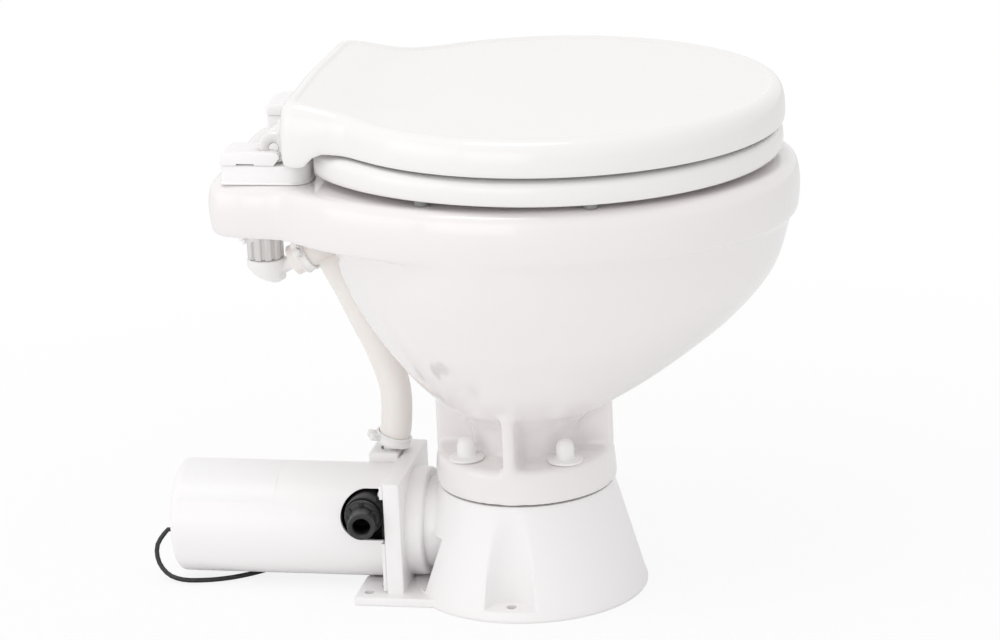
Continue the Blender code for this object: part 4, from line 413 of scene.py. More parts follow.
def block(angle, sizes, grow=0, power=12):
    wide, rear = [size + grow for size in sizes]
    back = max(0.0, -cos(angle))
    if not back:
        return 0.0
    return ((abs(sin(angle)) / wide) ** power + (back / rear) ** power) ** (-1 / power)


def widest(*reaches, power=40):
    top = max(reaches)
    return top * sum((r / top) ** power for r in reaches) ** (1 / power)


def outline(reach, angles, middle_y, height):
    ring = []
    for a in angles:
        r = reach(a)
        x, y = r * sin(a), middle_y - r * cos(a)
        ring.append((x, y, height(x, y) if callable(height) else height))
    return ring


def even_angles(reach, count, turn_share=0.5):
    """Angles round an outline, closer together where it turns."""
    fine = np.linspace(0, 2 * pi, 2881)
    spots = np.array([(reach(a) * sin(a), -reach(a) * cos(a)) for a in fine])
    steps = np.diff(spots, axis=0)
    lengths = np.hypot(steps[:, 0], steps[:, 1])
    headings = np.unwrap(np.arctan2(steps[:, 1], steps[:, 0]))
    turning = np.abs(np.diff(np.append(headings, headings[0] + 2 * pi)))
    weight = (1 - turn_share) * lengths / lengths.sum() + turn_share * turning / turning.sum()
    total = np.concatenate([[0], np.cumsum(weight)])
    half = np.interp(np.linspace(0, 0.5, count // 2 + 1), total / total[-1], fine)
    half[0], half[-1] = 0.0, pi
    return [*half, *(2 * pi - half[-2:0:-1])]


def flowing(rings, steps):
    """Rings added between the given ones, on a smooth curve through all of them."""
    given = np.array(rings, float)
    gaps = np.sqrt(np.linalg.norm(np.diff(given, axis=0), axis=2).mean(axis=1))
    first, last = 2 * given[0] - given[1], 2 * given[-1] - given[-2]
    every = np.concatenate([[first], given, [last]])
    times = np.concatenate([[0], np.cumsum([gaps[0], *gaps, gaps[-1]])])
    made = [given[0]]
    for i in range(1, len(every) - 2):
        p, t = every[i - 1:i + 3], times[i - 1:i + 3]
        for now in np.linspace(t[1], t[2], steps + 1)[1:]:
            a = [((t[k + 1] - now) * p[k] + (now - t[k]) * p[k + 1]) / (t[k + 1] - t[k])
                 for k in range(3)]
            b = [((t[k + 2] - now) * a[k] + (now - t[k]) * a[k + 1]) / (t[k + 2] - t[k])
                 for k in range(2)]
            made.append(((t[2] - now) * b[0] + (now - t[1]) * b[1]) / (t[2] - t[1]))
    return [[tuple(p) for p in ring] for ring in made]


def settled(piece):
    """Works the piece's modifiers into its mesh."""
    bpy.context.view_layer.update()
    graph = bpy.context.evaluated_depsgraph_get()
    mesh = bpy.data.meshes.new_from_object(piece.evaluated_get(graph))
    piece.modifiers.clear()
    piece.data = mesh


def shaped(piece, operation, *tools):
    """Cuts tools away from the piece, or joins them to it, and clears them up."""
    for tool in tools:
        step = piece.modifiers.new(tool.name, "BOOLEAN")
        step.operation = operation
        step.solver = "EXACT"
        step.object = tool
    settled(piece)
    for tool in tools:
        bpy.data.objects.remove(tool, do_unlink=True)


def cut(piece, *tools):
    shaped(piece, "DIFFERENCE", *tools)


def joined(piece, *tools):
    shaped(piece, "UNION", *tools)


def softened(pieces, name, voxel, rounds, factor=0.5):
    """Closed shapes melted into one skin, with every edge and joint softly rounded."""
    bm = bmesh.new()
    for piece in pieces:
        mesh = piece.data.copy()
        mesh.transform(piece.matrix_world)
        bm.from_mesh(mesh)
        bpy.data.objects.remove(piece, do_unlink=True)
    made = bpy.data.objects.new(name, mesh_from(name, bm))
    scene.collection.objects.link(made)
    remesh = made.modifiers.new("one skin", "REMESH")
    remesh.mode = "VOXEL"
    remesh.voxel_size = voxel
    smooth = made.modifiers.new("soft edges", "SMOOTH")
    smooth.factor = factor
    smooth.iterations = rounds
    settled(made)
    made.data.shade_smooth()
    return made


def rod(name, start, end, radius, sides=48):
    return skin(name, hoops([start, end], radius, sides))


def rounded_block(name, low, high, radius, segments=3):
    bm = bmesh.new()
    bmesh.ops.create_cube(bm, size=1)
    size = [b - a for a, b in zip(low, high)]
    bmesh.ops.scale(bm, vec=size, verts=bm.verts)
    if radius:
        bmesh.ops.bevel(bm, geom=bm.edges[:], offset=radius, segments=segments, profile=0.5,
                        affect="EDGES")
    bmesh.ops.translate(bm, vec=[(a + b) / 2 for a, b in zip(low, high)], verts=bm.verts)
    made = bpy.data.objects.new(name, mesh_from(name, bm))
    scene.collection.objects.link(made)
    return made


around = [2 * pi * i / 128 for i in range(128)]


def belly(inset):
    rings = []
    for high, front, rear, wide in BELLY_SHARES:
        reaches = (BELLY[0] * wide - inset, BELLY[1] * front - inset, BELLY[2] * rear - inset)
        rings.append(outline(lambda a: egg(a, reaches), around, 0,
                             FOOT_TOP + (BAND_LOW - FOOT_TOP) * high))
    return rings


def band_line(inset):
    return lambda a: widest(egg(a, BAND, -inset), block(a, SHELF, -inset))


def disc(radius, z):
    return outline(lambda a: radius, around, 0, z)


neck = [disc(NECK_R, FOOT_TOP), *belly(0)]
body = skin("belly", [*[disc(r, z) for r, z in FOOT_EDGE], *flowing(neck, 5),
                      [(x, y, BELLY_END_Z) for x, y, z in neck[-1]]])
band_angles = even_angles(band_line(0), 160)
band = skin("rim_band", flowing([outline(band_line(inset), band_angles, BOWL_MIDDLE_Y, z)
                                 for inset, z in BAND_ROLL], 3))
china = [body, band, rod("inlet_boss", (0, SPUD_Y, BAND_LOW - INLET_BOSS_L),
                         (0, SPUD_Y, BAND_LOW + 0.01), INLET_BOSS_R)]
for i in range(4):
    rib = rounded_block(f"neck_rib_{i}", RIB_LOW, RIB_HIGH, RIB_ROUND)
    rib.matrix_world = Matrix.Rotation(radians(90 * i), 4, "Z")
    bpy.context.view_layer.update()
    china.append(rib)
bowl = softened(china, "glazed_bowl", GLAZE_VOXEL, 12)
mouth = [outline(lambda a, g=g: egg(a, MOUTH, g), around, BOWL_MIDDLE_Y, z)
         for g, z in MOUTH_ROLL]
inside = belly(CHINA_T)
hollow = skin("bowl_hollow", [disc(OUTLET_R, FOOT_LOW - PAST),
                              *flowing([disc(OUTLET_R, OUTLET_TOP), *inside[2:-1]], 5),
                              *flowing([inside[-2],
                                        [(x, y, HOLLOW_END_Z) for x, y, z in inside[-1]]], 3)[1:],
                              *mouth])
cut(bowl, hollow)


def upright_rod(name, x, y, span, radius, sides):
    return rod(name, (x, y, span[0]), (x, y, span[1]), radius, sides)


holes = [upright_rod(f"flange_hole_{i}", x, y, FLANGE_HOLE_Z, FLANGE_HOLE_R, 20)
         for i, (x, y) in enumerate(BOLT_SPOTS)]
holes += [upright_rod(f"shelf_hole_{side}", side * HINGE_BOLT[0], HINGE_BOLT[1], SHELF_HOLE_Z,
                      SHELF_HOLE_R, 20) for side in (-1, 1)]
holes.append(upright_rod("inlet_hole", 0, SPUD_Y, INLET_HOLE_Z, INLET_HOLE_R, 28))
cut(bowl, *holes)
bowl.data.shade_smooth()
bowl.data.set_sharp_from_angle(angle=radians(50))
glaze = speckled("white_glaze", (0.900, 0.868, 0.864), (0.882, 0.848, 0.845), roughness=0.13,
                 grain=0.0120, depth=0.00010, spread=0.03, patch=0.12, strength=0.12,
                 sockets={"Coat Weight": 0.5, "Coat Roughness": 0.04, "IOR": 1.52})
belongs(bowl, "toilet", "vitreous_china", glaze, "ceramic_bowl")

# Base
# One injection moulding in white: a cone with a bolt pocket on each side, the round pump mouth,
# the square bracket plate that the motor is screwed to, and a foot plate with two fixing holes.
CONE = (
    (0.0970, 0), (0.0980, 0.0015), (0.0980, 0.0030), (0.0968, 0.0060), (0.0735, 0.0905),
    (0.0722, 0.0920),
)
SHAFT_Z = 0.0520
POCKET_X, POCKET_R, POCKET_FLOOR, POCKET_SOFT = 0.0965, 0.0210, 0.0095, 0.0022
CONE_LEVELS = [0, 0.0015, 0.0030, 0.0060, 0.0075, *np.linspace(0.0088, 0.0108, 9), 0.0130,
               *np.linspace(0.0170, 0.0905, 26), 0.0920]
THROAT_R, THROAT_FROM, THROAT_TO = 0.0385, 0.015, 0.090
# Radius and reach of the ring along the shaft, from its seat
RING_SEAT_Y = 0.0765
PUMP_RING = (
    (0, 0.0030), (0.0425, 0.0052), (0.0440, 0.0056), (0.0450, 0.0064), (0.0455, 0.0080),
    (0.0455, 0.0270), (0, 0.0270),
)
# Lowest and highest corners
MOUTH_POCKET = ((-0.0550, 0.0600, 0.0085), (0.0550, 0.1100, 0.0560))
BRACKET_PLATE = ((-0.058, 0.0965, 0.001), (0.058, 0.1105, 0.1035))
FOOT_PLATE = ((-0.069, 0.030, 0.0002), (0.069, 0.1365, 0.0075))
MIDDLE_WEB = ((-0.003, 0.030, 0.004), (0.003, 0.1005, 0.015))
PLATE_EDGE, POCKET_EDGE, WEB_EDGE = 0.0014, 0.0010, 0.0005
# Start, end, radius and sides of the bores round the shaft
SHAFT_BORES = (
    ("throat_bore", 0, 0.0845, 0.0220, 48), ("pump_chamber", 0.0805, 0.1145, 0.0370, 80),
    ("cover_bed", 0.1102, 0.1420, 0.0485, 96),
)
WELL_R, WELL_FLOOR = 0.0300, 0.016
FIXING_R, FLOOR_HOLE_X, FOOT_HOLE = 0.0042, 0.0850, (0.0555, 0.1262)
BOLT_HOLE_R, BOLT_HOLE_LOW = 0.0039, 0.080
SCREW_BORE_R, SCREW_BORE_Y = 0.0021, (0.1145, 0.0995)
CORING = (0.047, 0.071, 0.084)
SCREW_SPOTS = [(sx * 0.0495, SHAFT_Z + sz * 0.0395) for sx in (-1, 1) for sz in (-1, 1)]


def facing(spot, way):
    """The matrix that lays the upright axis through a spot along a way."""
    turn = Vector((0, 0, 1)).rotation_difference(Vector(way).normalized())
    return Matrix.Translation(Vector(spot)) @ turn.to_matrix().to_4x4()


def spun(name, profile, sides, spot=(0, 0, 0), way=(0, 0, 1), ring=False):
    """A profile of (radius, height) turned round an axis through a spot."""
    turn = facing(spot, way)
    rings = []
    for r, z in profile:
        count = sides if r else 1
        rings.append([turn @ Vector((r * cos(2 * pi * k / sides), r * sin(2 * pi * k / sides), z))
                      for k in range(count)])
    return skin(name, rings, loop=ring)


def cone_reach(angle, z):
    """Radius of the cone at a height, with the two bolt pockets flowing softly into it."""
    r = float(np.interp(z, [h for _, h in CONE], [w for w, _ in CONE]))
    aside = abs(POCKET_X * sin(angle))
    cut_in = max(POCKET_R ** 2 - aside ** 2, 0) ** 0.5
    wall = POCKET_X * abs(cos(angle)) - cut_in + 3 * max(aside - POCKET_R, 0)
    low = min(r, wall) - POCKET_SOFT * float(np.log1p(np.exp(-abs(r - wall) / POCKET_SOFT)))
    return r - (r - low) * eased(z, POCKET_FLOOR - 0.0007, POCKET_FLOOR + 0.0013)


def shaft_rod(name, start, end, radius, sides):
    return rod(name, (0, start, SHAFT_Z), (0, end, SHAFT_Z), radius, sides)


round_cone = [2 * pi * k / 360 for k in range(360)]
base = skin("moulded_base", [[(cone_reach(a, z) * cos(a), cone_reach(a, z) * sin(a), z)
                              for a in round_cone] for z in CONE_LEVELS])
cut(base, rounded_block("mouth_pocket", *MOUTH_POCKET, POCKET_EDGE, 1))
joined(base, shaft_rod("pump_throat", THROAT_FROM, THROAT_TO, THROAT_R, 96),
       spun("pump_mouth", PUMP_RING, 128, (0, RING_SEAT_Y, SHAFT_Z), (0, 1, 0)),
       rounded_block("bracket_plate", *BRACKET_PLATE, PLATE_EDGE),
       rounded_block("foot_plate", *FOOT_PLATE, PLATE_EDGE),
       rounded_block("middle_web", *MIDDLE_WEB, WEB_EDGE, 1))
cuts = [upright_rod("well", 0, 0, (WELL_FLOOR, CONE[-1][1] + PAST), WELL_R, 64)]
cuts += [shaft_rod(*bore) for bore in SHAFT_BORES]
for side in (-1, 1):
    for name, x, y in (("floor_hole", FLOOR_HOLE_X, 0), ("foot_hole", *FOOT_HOLE)):
        cuts.append(upright_rod(f"{name}_{side}", side * x, y, (-PAST, POCKET_FLOOR + PAST),
                                FIXING_R, 32))
cuts += [upright_rod(f"base_bolt_{i}", x, y, (BOLT_HOLE_LOW, CONE[-1][1] + PAST), BOLT_HOLE_R, 20)
         for i, (x, y) in enumerate(BOLT_SPOTS)]
cuts += [rod(f"screw_bore_{i}", (x, SCREW_BORE_Y[0], z), (x, SCREW_BORE_Y[1], z), SCREW_BORE_R, 16)
         for i, (x, z) in enumerate(SCREW_SPOTS)]
for i, middle in enumerate([45, 135, 225, 315, 270]):
    arc = [radians(middle - 16 + 4 * k) for k in range(9)]
    flat = [(CORING[1] * cos(t), CORING[1] * sin(t)) for t in arc]
    flat += [(CORING[0] * cos(t), CORING[0] * sin(t)) for t in reversed(arc)]
    cuts.append(skin(f"core_{i}", [[(x, y, z) for x, y in flat] for z in (-PAST, CORING[2])]))
for tool in cuts:
    cut(base, tool)
base.data.shade_smooth()
base.data.set_sharp_from_angle(angle=radians(35))
moulded = speckled("white_moulding", (0.946, 0.925, 0.929), (0.932, 0.910, 0.914), roughness=0.36,
                   grain=0.0030, depth=0.00006, spread=0.04, patch=0.09, strength=0.2,
                   sockets={"Subsurface Weight": 0.05, "Subsurface Radius": (0.004, 0.004, 0.004)})
belongs(base, "toilet", "white_moulding", moulded, "pedestal_base")

# Foot joint
# A thin rubber gasket lies between base and china. Four steel bolts come up through both, and each
# nut hides under a milky domed cap that snaps on a washer.
gasket = speckled("gasket_rubber", (0.16, 0.15, 0.14), (0.20, 0.19, 0.18),
                  roughness=0.7, grain=0.0015, depth=0.0001)
dress(gasket, "bowl_seal")
bright = speckled("bright_steel", (0.62, 0.62, 0.63), (0.55, 0.55, 0.57),
                  roughness=0.23, grain=0.0008, depth=0.00002, spread=0.02, patch=0.02,
                  sockets={"Metallic": 1.0})
dress(bright, "foot_bolt_1", "foot_bolt_2", "foot_bolt_3", "foot_bolt_4")
milky = speckled("milky_nylon", (0.935, 0.925, 0.915), (0.915, 0.900, 0.890),
                 roughness=0.36, grain=0.0040, depth=0.00002, spread=0.04, patch=0.02,
                 sockets={"Subsurface Weight": 0.15, "Subsurface Radius": (0.006, 0.006, 0.006)})
CAP_SKIN = (
    (0, 0.0190), (0.0022, 0.0188), (0.0042, 0.0180), (0.0058, 0.0165), (0.0069, 0.0143),
    (0.0074, 0.0118), (0.0075, 0.0090), (0.0076, 0.0040), (0.0084, 0.0030), (0.0098, 0.0026),
    (0.0138, 0.0022), (0.0146, 0.0018), (0.0148, 0.0011), (0.0146, 0.0003), (0.0140, 0),
    (0.0033, 0), (0.0033, 0.0022), (0.0061, 0.0022), (0.0061, 0.0115), (0.0048, 0.0150),
    (0.0030, 0.0168), (0, 0.0174),
)
CAP_LIFT, CAP_REACH = 0.0003, (0.0148, 0.0145)
for i, (x, y) in enumerate(BOLT_SPOTS):
    cap = spun(f"domed_cap_{i + 1}", CAP_SKIN, 48, (x, y, FOOT_TOP + CAP_LIFT))
    node = min(range(1, 5), key=lambda k: (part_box(f"bolt_cap_{k}")[0][0] - x + CAP_REACH[0]) ** 2
               + (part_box(f"bolt_cap_{k}")[0][1] - y + CAP_REACH[1]) ** 2)
    belongs(cap, "toilet", "gloss_white", milky, f"bolt_cap_{node}")

# Seat
# A moulded ring of thick white thermoset with rolled edges. Its two arms reach back under the lid
# to knuckles on the hinge pins, and four buffers keep it off the china.
SEAT_LOW, SEAT_TOP = 0.3752, 0.3984
SEAT_MIDDLE_Y = -0.0300
SEAT = (0.1715, 0.1905, 0.2060)
SEAT_BACK = 0.1770
SEAT_HOLE = (0.1060, 0.1420, 0.1150)
PIN_Y, PIN_Z = 0.1770, 0.3995
# Inset and height round the outer edge, then growth of the hole and height round the inner edge
SEAT_ROLL = (
    (0.0120, SEAT_LOW), (0.0050, SEAT_LOW + 0.0004), (0.0016, SEAT_LOW + 0.0022),
    (0.0002, SEAT_LOW + 0.0060), (0, SEAT_LOW + 0.0120), (0.0006, SEAT_TOP - 0.0062),
    (0.0028, SEAT_TOP - 0.0028), (0.0075, SEAT_TOP - 0.0006), (0.0160, SEAT_TOP),
)
HOLE_ROLL = (
    (0.0240, SEAT_TOP - 0.0001), (0.0140, SEAT_TOP - 0.0010), (0.0055, SEAT_TOP - 0.0042),
    (0.0012, SEAT_TOP - 0.0090), (0, SEAT_TOP - 0.0140), (0.0008, SEAT_LOW + 0.0030),
    (0.0045, SEAT_LOW),
)
EYE_R, EYE_EDGE, PIN_BORE_R = 0.0125, 0.0006, 0.0043
SEAT_EYE = (0.0600, 0.0085)
ARM_L, ARM_LOW, ARM_TOP, ARM_EDGE = 0.0400, 0.3878, 0.3983, 0.0012


def narrowest(*reaches, power=80):
    low = min(reaches)
    return low * sum((low / r) ** power for r in reaches) ** (-1 / power)


def seat_line(inset):
    def reach(a):
        outer = egg(a, SEAT, -inset)
        back = -cos(a)
        return narrowest(outer, (SEAT_BACK - inset) / back) if back > 0.05 else outer
    return reach


def hole_line(grow):
    return lambda a: egg(a, SEAT_HOLE, grow)


seat_angles = even_angles(seat_line(0), 184)
seat_rings = [(seat_line(inset), z) for inset, z in SEAT_ROLL]
seat_rings += [(hole_line(grow), z) for grow, z in HOLE_ROLL]
rings = [outline(f, seat_angles, SEAT_MIDDLE_Y, z) for f, z in seat_rings]
seat = skin("ring_seat", flowing([*rings, rings[0]], 2)[:-1], loop=True)


def on_side(side, inner, width):
    return sorted((side * inner, side * (inner + width)))


def knuckle(name, side, inner, width):
    """A hinge eye on the pin's axis."""
    face = EYE_R - EYE_EDGE
    profile = ((0, 0), (face, 0), (EYE_R, EYE_EDGE), (EYE_R, width - EYE_EDGE), (face, width),
               (0, width))
    return spun(name, profile, 48, (on_side(side, inner, width)[0], PIN_Y, PIN_Z), (1, 0, 0))


def pin_bore(side, inner, width):
    a, b = on_side(side, inner, width)
    return rod("pin_bore", (a - PAST, PIN_Y, PIN_Z), (b + PAST, PIN_Y, PIN_Z), PIN_BORE_R, 24)


for side in (-1, 1):
    a, b = on_side(side, *SEAT_EYE)
    arm = rounded_block("seat_arm", (a, PIN_Y - ARM_L, ARM_LOW), (b, PIN_Y, ARM_TOP), ARM_EDGE, 2)
    joined(seat, arm, knuckle("seat_eye", side, *SEAT_EYE))
    cut(seat, pin_bore(side, *SEAT_EYE))
polished = speckled("polished_thermoset", (0.912, 0.896, 0.886), (0.896, 0.878, 0.869),
                    roughness=0.17, grain=0.0090, depth=0.00008, spread=0.03, patch=0.10,
                    strength=0.12, sockets={"Coat Weight": 0.25, "Coat Roughness": 0.08})
belongs(seat, "seat", "gloss_white", polished, "toilet_seat")

# Lid
# The same thermoset, moulded as a shell: a full convex skirt, a soft crest, a panel sunk by a hair,
# and a hinge edge that kicks up and hangs down in a lobe at each corner.
LID_LOW, LID_HIGH = 0.4002, 0.4298
LID = (0.1730, 0.1925, 0.1900)
LID_TAIL = (0.1110, 0.1980)
LID_T = 0.0040
KICK, KICK_FROM, KICK_TO = 0.0115, 0.1100, 0.1980
LOBE_DROP, LOBE_RISE = 0.0115, 0.0150
LOBE_X, LOBE_Y = (0.0970, 0.1043), (0.1660, 0.1800)
# Shares of the sunk panel, inset and depth over the crease, inset and share of height down the
# skirt outside, then inside
PANEL = (0.02, 0.3, 0.6, 0.85)
PANEL_INSET, PANEL_SINK = 0.0300, 0.0016
CREASE = (
    (0.0150, 0.0016), (0.0134, 0.0015), (0.0124, 0.0010), (0.0114, 0.0003), (0.0104, 0),
    (0.0086, 0.0003),
)
SKIRT = ((0.0060, 0.955), (0.0030, 0.86), (0.0008, 0.66), (0, 0.42), (0, 0.16), (0.0006, 0.04))
HEM_INSET = 0.0020
LINING = ((0.0036, 0.03), (0.0042, 0.20), (0.0055, 0.62), (0.0095, 0.88))
LINING_TOP = ((0.0150, 0.0054), (0.0340, PANEL_SINK + LID_T))
LID_EYE = (0.0795, 0.0090)
LUG = (0.0120, 0.0035, 0.0225)
LUG_EDGE = 0.0008
POST_SPOT, POST_R, POST_LOW, POST_TOP = (0.0900, -0.1750), 0.0075, 0.4020, 0.4262


def lid_line(inset):
    return lambda a: widest(egg(a, LID, -inset), block(a, LID_TAIL, -inset, power=28), power=24)


def lid_face(sink):
    return lambda x, y: LID_HIGH - sink + KICK * eased(y, SEAT_MIDDLE_Y + KICK_FROM,
                                                       SEAT_MIDDLE_Y + KICK_TO)


def lid_hem(x, y):
    """Lower edge of the skirt: level, down in the corner lobes and up between the hinges."""
    corner = eased(abs(x), *LOBE_X)
    lobe = eased(y - SEAT_MIDDLE_Y, *LOBE_Y)
    return LID_LOW - LOBE_DROP * lobe * corner + LOBE_RISE * lobe * (1 - corner)


def between(share, sink):
    face = lid_face(sink)
    return lambda x, y: lid_hem(x, y) * (1 - share) + face(x, y) * share


lid_angles = even_angles(lid_line(0), 224)


def lid_ring(inset, height):
    return outline(lid_line(inset), lid_angles, SEAT_MIDDLE_Y, height)


def panel_ring(share, height):
    reach = lid_line(PANEL_INSET)
    return outline(lambda a: reach(a) * share, lid_angles, SEAT_MIDDLE_Y, height)


top, under = lid_face(PANEL_SINK), lid_face(PANEL_SINK + LID_T)
outside = [*[panel_ring(share, top) for share in PANEL], lid_ring(PANEL_INSET, top),
           *[lid_ring(inset, lid_face(sink)) for inset, sink in CREASE],
           *[lid_ring(inset, between(share, 0)) for inset, share in SKIRT],
           lid_ring(HEM_INSET, lid_hem)]
within = [*[lid_ring(inset, between(share, LID_T)) for inset, share in LINING],
          *[lid_ring(inset, lid_face(sink)) for inset, sink in LINING_TOP],
          *[panel_ring(share, under) for share in PANEL[2::-1]]]
lid = skin("shell_lid", flowing([*outside, *within], 2))
for side in (-1, 1):
    a, b = on_side(side, *LID_EYE)
    lug = rounded_block("lid_lug", (a, PIN_Y - LUG[0], PIN_Z), (b, PIN_Y - LUG[1], PIN_Z + LUG[2]),
                        LUG_EDGE, 2)
    joined(lid, lug, knuckle("lid_eye", side, *LID_EYE))
    cut(lid, pin_bore(side, *LID_EYE))
    x, y = side * POST_SPOT[0], POST_SPOT[1]
    joined(lid, upright_rod("buffer_post", x, y, (POST_LOW, POST_TOP), POST_R, 32))
belongs(lid, "lid", "gloss_white", polished, "toilet_lid")
buffer = speckled("grey_buffer", (0.30, 0.30, 0.30), (0.25, 0.25, 0.25),
                  roughness=0.65, grain=0.0010, depth=0.00005)
dress(buffer, "seat_bumper_1", "seat_bumper_2", "seat_bumper_3", "seat_bumper_4", "lid_bumper_near",
      "lid_bumper_far")

# Hinges
# On each side a moulded base with a round nose and a thin foot rim, a nylon-coated pin through
# three eyes, and a snap-on cover with a pry slot. A bolt and a wing nut clamp it to the shelf.
HINGE = (0.0580, 0.0960, 0.1483, 0.2215)
HINGE_LOW, HINGE_TOP = 0.3703, 0.3860
NOSE_R, CORNER_R, LEAST_R = 0.0150, 0.0040, 0.0005
# Inset and height up the side of the base, then up the cover's dome
HINGE_ROLL = (
    (0.0003, HINGE_LOW), (0, HINGE_LOW + 0.0003), (0, HINGE_LOW + 0.0013),
    (0.0003, HINGE_LOW + 0.0017), (0.0009, HINGE_LOW + 0.0020), (0.0010, HINGE_TOP - 0.0010),
    (0.0013, HINGE_TOP - 0.0004), (0.0020, HINGE_TOP),
)
COVER_LOW = HINGE_TOP + 0.0003
COVER_FRONT = 0.1905
DOME = (
    (0.0002, 0), (0, 0.0003), (0, 0.0044), (0.0003, 0.0060), (0.0011, 0.0076), (0.0024, 0.0090),
    (0.0042, 0.0100), (0.0062, 0.0106), (0.0085, 0.0109),
)
CHEEK_X, CHEEK_EDGE = 0.0898, 0.0008
CHEEK = (
    (0.1765, 0), (0.2213, 0), (0.2213, 0.0030), (0.2203, 0.0058), (0.2180, 0.0080),
    (0.2145, 0.0097), (0.2095, 0.0107), (0.2030, 0.0112), (0.1765, 0.0112), (0.1730, 0.0104),
    (0.1712, 0.0085), (0.1712, 0.0062),
)
SLOT_DEEP, SLOT_Y, SLOT_H = 0.0090, (0.1925, 0.2075), 0.0015
BASE_EYE, ROOT_HALF = (0.0690, 0.0100), 0.0100
HEAD_R, HEAD_DEEP, BOLT_WAY_R = 0.0068, 0.0042, 0.0033
WING_R, WING_H = 0.0075, 0.0065
BLADE_HALF, BLADE_HALF_T, BLADE_TOP, BLADE_EDGE = 0.0150, 0.0015, 0.0020, 0.0012
WING_TOP = BAND_LOW - 0.0003


def hinge_plan(side, front_y, front_r, inset, z, steps=10):
    """Outline of a hinge part in plan: a rounded front, small corners at the rear."""
    points = []
    for x, y, r, turn in ((HINGE[1], front_y, front_r, 0), (HINGE[1], HINGE[3], CORNER_R, 1),
                          (HINGE[0], HINGE[3], CORNER_R, 2), (HINGE[0], front_y, front_r, 3)):
        r = max(r - inset, LEAST_R)
        out, back = 1 if x == HINGE[1] else -1, 1 if y == HINGE[3] else -1
        for k in range(steps + 1):
            t = radians(-90 + 90 * turn + 90 * k / steps)
            points.append((side * (x - out * (inset + r) + r * cos(t)),
                           y - back * (inset + r) + r * sin(t), z))
    return points


for side, label in ((-1, "near"), (1, "far")):
    x, y = side * HINGE_BOLT[0], HINGE_BOLT[1]
    sides = [hinge_plan(side, HINGE[2], NOSE_R, inset, z) for inset, z in HINGE_ROLL]
    hinge = skin(f"hinge_block_{label}", sides)
    a, b = on_side(side, *BASE_EYE)
    root = rounded_block("eye_root", (a, PIN_Y - ROOT_HALF, HINGE_TOP - PAST),
                         (b, PIN_Y + ROOT_HALF, PIN_Z), 0)
    joined(hinge, root, knuckle("base_eye", side, *BASE_EYE))
    cut(hinge, pin_bore(side, *BASE_EYE),
        upright_rod("head_recess", x, y, (HINGE_TOP - HEAD_DEEP, HINGE_TOP + PAST), HEAD_R, 32),
        upright_rod("bolt_way", x, y, (HINGE_LOW - PAST, HINGE_TOP), BOLT_WAY_R, 20))
    belongs(hinge, "toilet", "white_moulding", moulded, f"hinge_base_{label}")
    dome = [hinge_plan(side, COVER_FRONT, CORNER_R, inset, COVER_LOW + z) for inset, z in DOME]
    cover = skin(f"snap_cover_{label}", dome, sharp_deg=60)
    ends = sorted((side * CHEEK_X, side * HINGE[1]))
    cheek = skin("cover_cheek", [[(end, y_at, COVER_LOW + z) for y_at, z in CHEEK] for end in ends])
    bevel = cheek.modifiers.new("edges", "BEVEL")
    bevel.width, bevel.segments, bevel.angle_limit = CHEEK_EDGE, 3, radians(50)
    settled(cheek)
    joined(cover, cheek)
    a, b = sorted((side * (HINGE[1] - SLOT_DEEP), side * (HINGE[1] + PAST)))
    slot = rounded_block("pry_slot", (a, SLOT_Y[0], COVER_LOW - PAST),
                         (b, SLOT_Y[1], COVER_LOW + SLOT_H), 0)
    cut(cover, slot)
    cover.data.set_sharp_from_angle(angle=radians(32))
    belongs(cover, "toilet", "white_moulding", moulded, f"hinge_cover_{label}")
    dress(moulded, f"hinge_pin_{label}")
    dress(bright, f"hinge_bolt_{label}")
    wing = upright_rod(f"wing_nut_{label}", x, y, (WING_TOP - WING_H, WING_TOP), WING_R, 40)
    blades = rounded_block("blades", (x - BLADE_HALF, y - BLADE_HALF_T, WING_TOP - WING_H),
                           (x + BLADE_HALF, y + BLADE_HALF_T, WING_TOP - BLADE_TOP), BLADE_EDGE)
    joined(wing, blades)
    nut_span = (WING_TOP - WING_H - PAST, WING_TOP + PAST)
    cut(wing, upright_rod("nut_bore", x, y, nut_span, BOLT_WAY_R, 20))
    belongs(wing, "toilet", "white_moulding", moulded, f"wing_nut_{label}")

# Rinse inlet
# Under the shelf a ribbed nylon nut holds a milky elbow against the china. The milky clamps have a
# square screw block, and the rinse hose is soft vinyl that has yellowed a little.
NUT_LOW, NUT_TOP = 0.2807, 0.3087
ELBOW_TILT = radians(28)
ELBOW_TURN = Vector((0, SPUD_Y, 0.2655))
ELBOW_WAY = Vector((0, -cos(ELBOW_TILT), sin(ELBOW_TILT)))
HOSE_TOP = ELBOW_TURN + ELBOW_WAY * 0.0270
HOSE_FOOT = Vector((0.0290, 0.1205, 0.1095))
HOSE_KNOTS = (
    (0.0030, 0.1700, 0.2882), (0.0090, 0.1662, 0.2882), (0.0160, 0.1640, 0.2830),
    (0.0215, 0.1610, 0.2740), (0.0260, 0.1560, 0.2610), (0.0290, 0.1500, 0.2470),
    (0.0310, 0.1385, 0.2200), (0.0315, 0.1250, 0.1900), (0.0310, 0.1155, 0.1580),
)
HOSE_LEAN = (Vector((0.0300, 0.1120, 0.1380)) - HOSE_FOOT).normalized()
ON_BARB, HOSE_SPACING = 0.0150, 0.0045
HOSE_R, HOSE_BORE_R = 0.0130, 0.0095
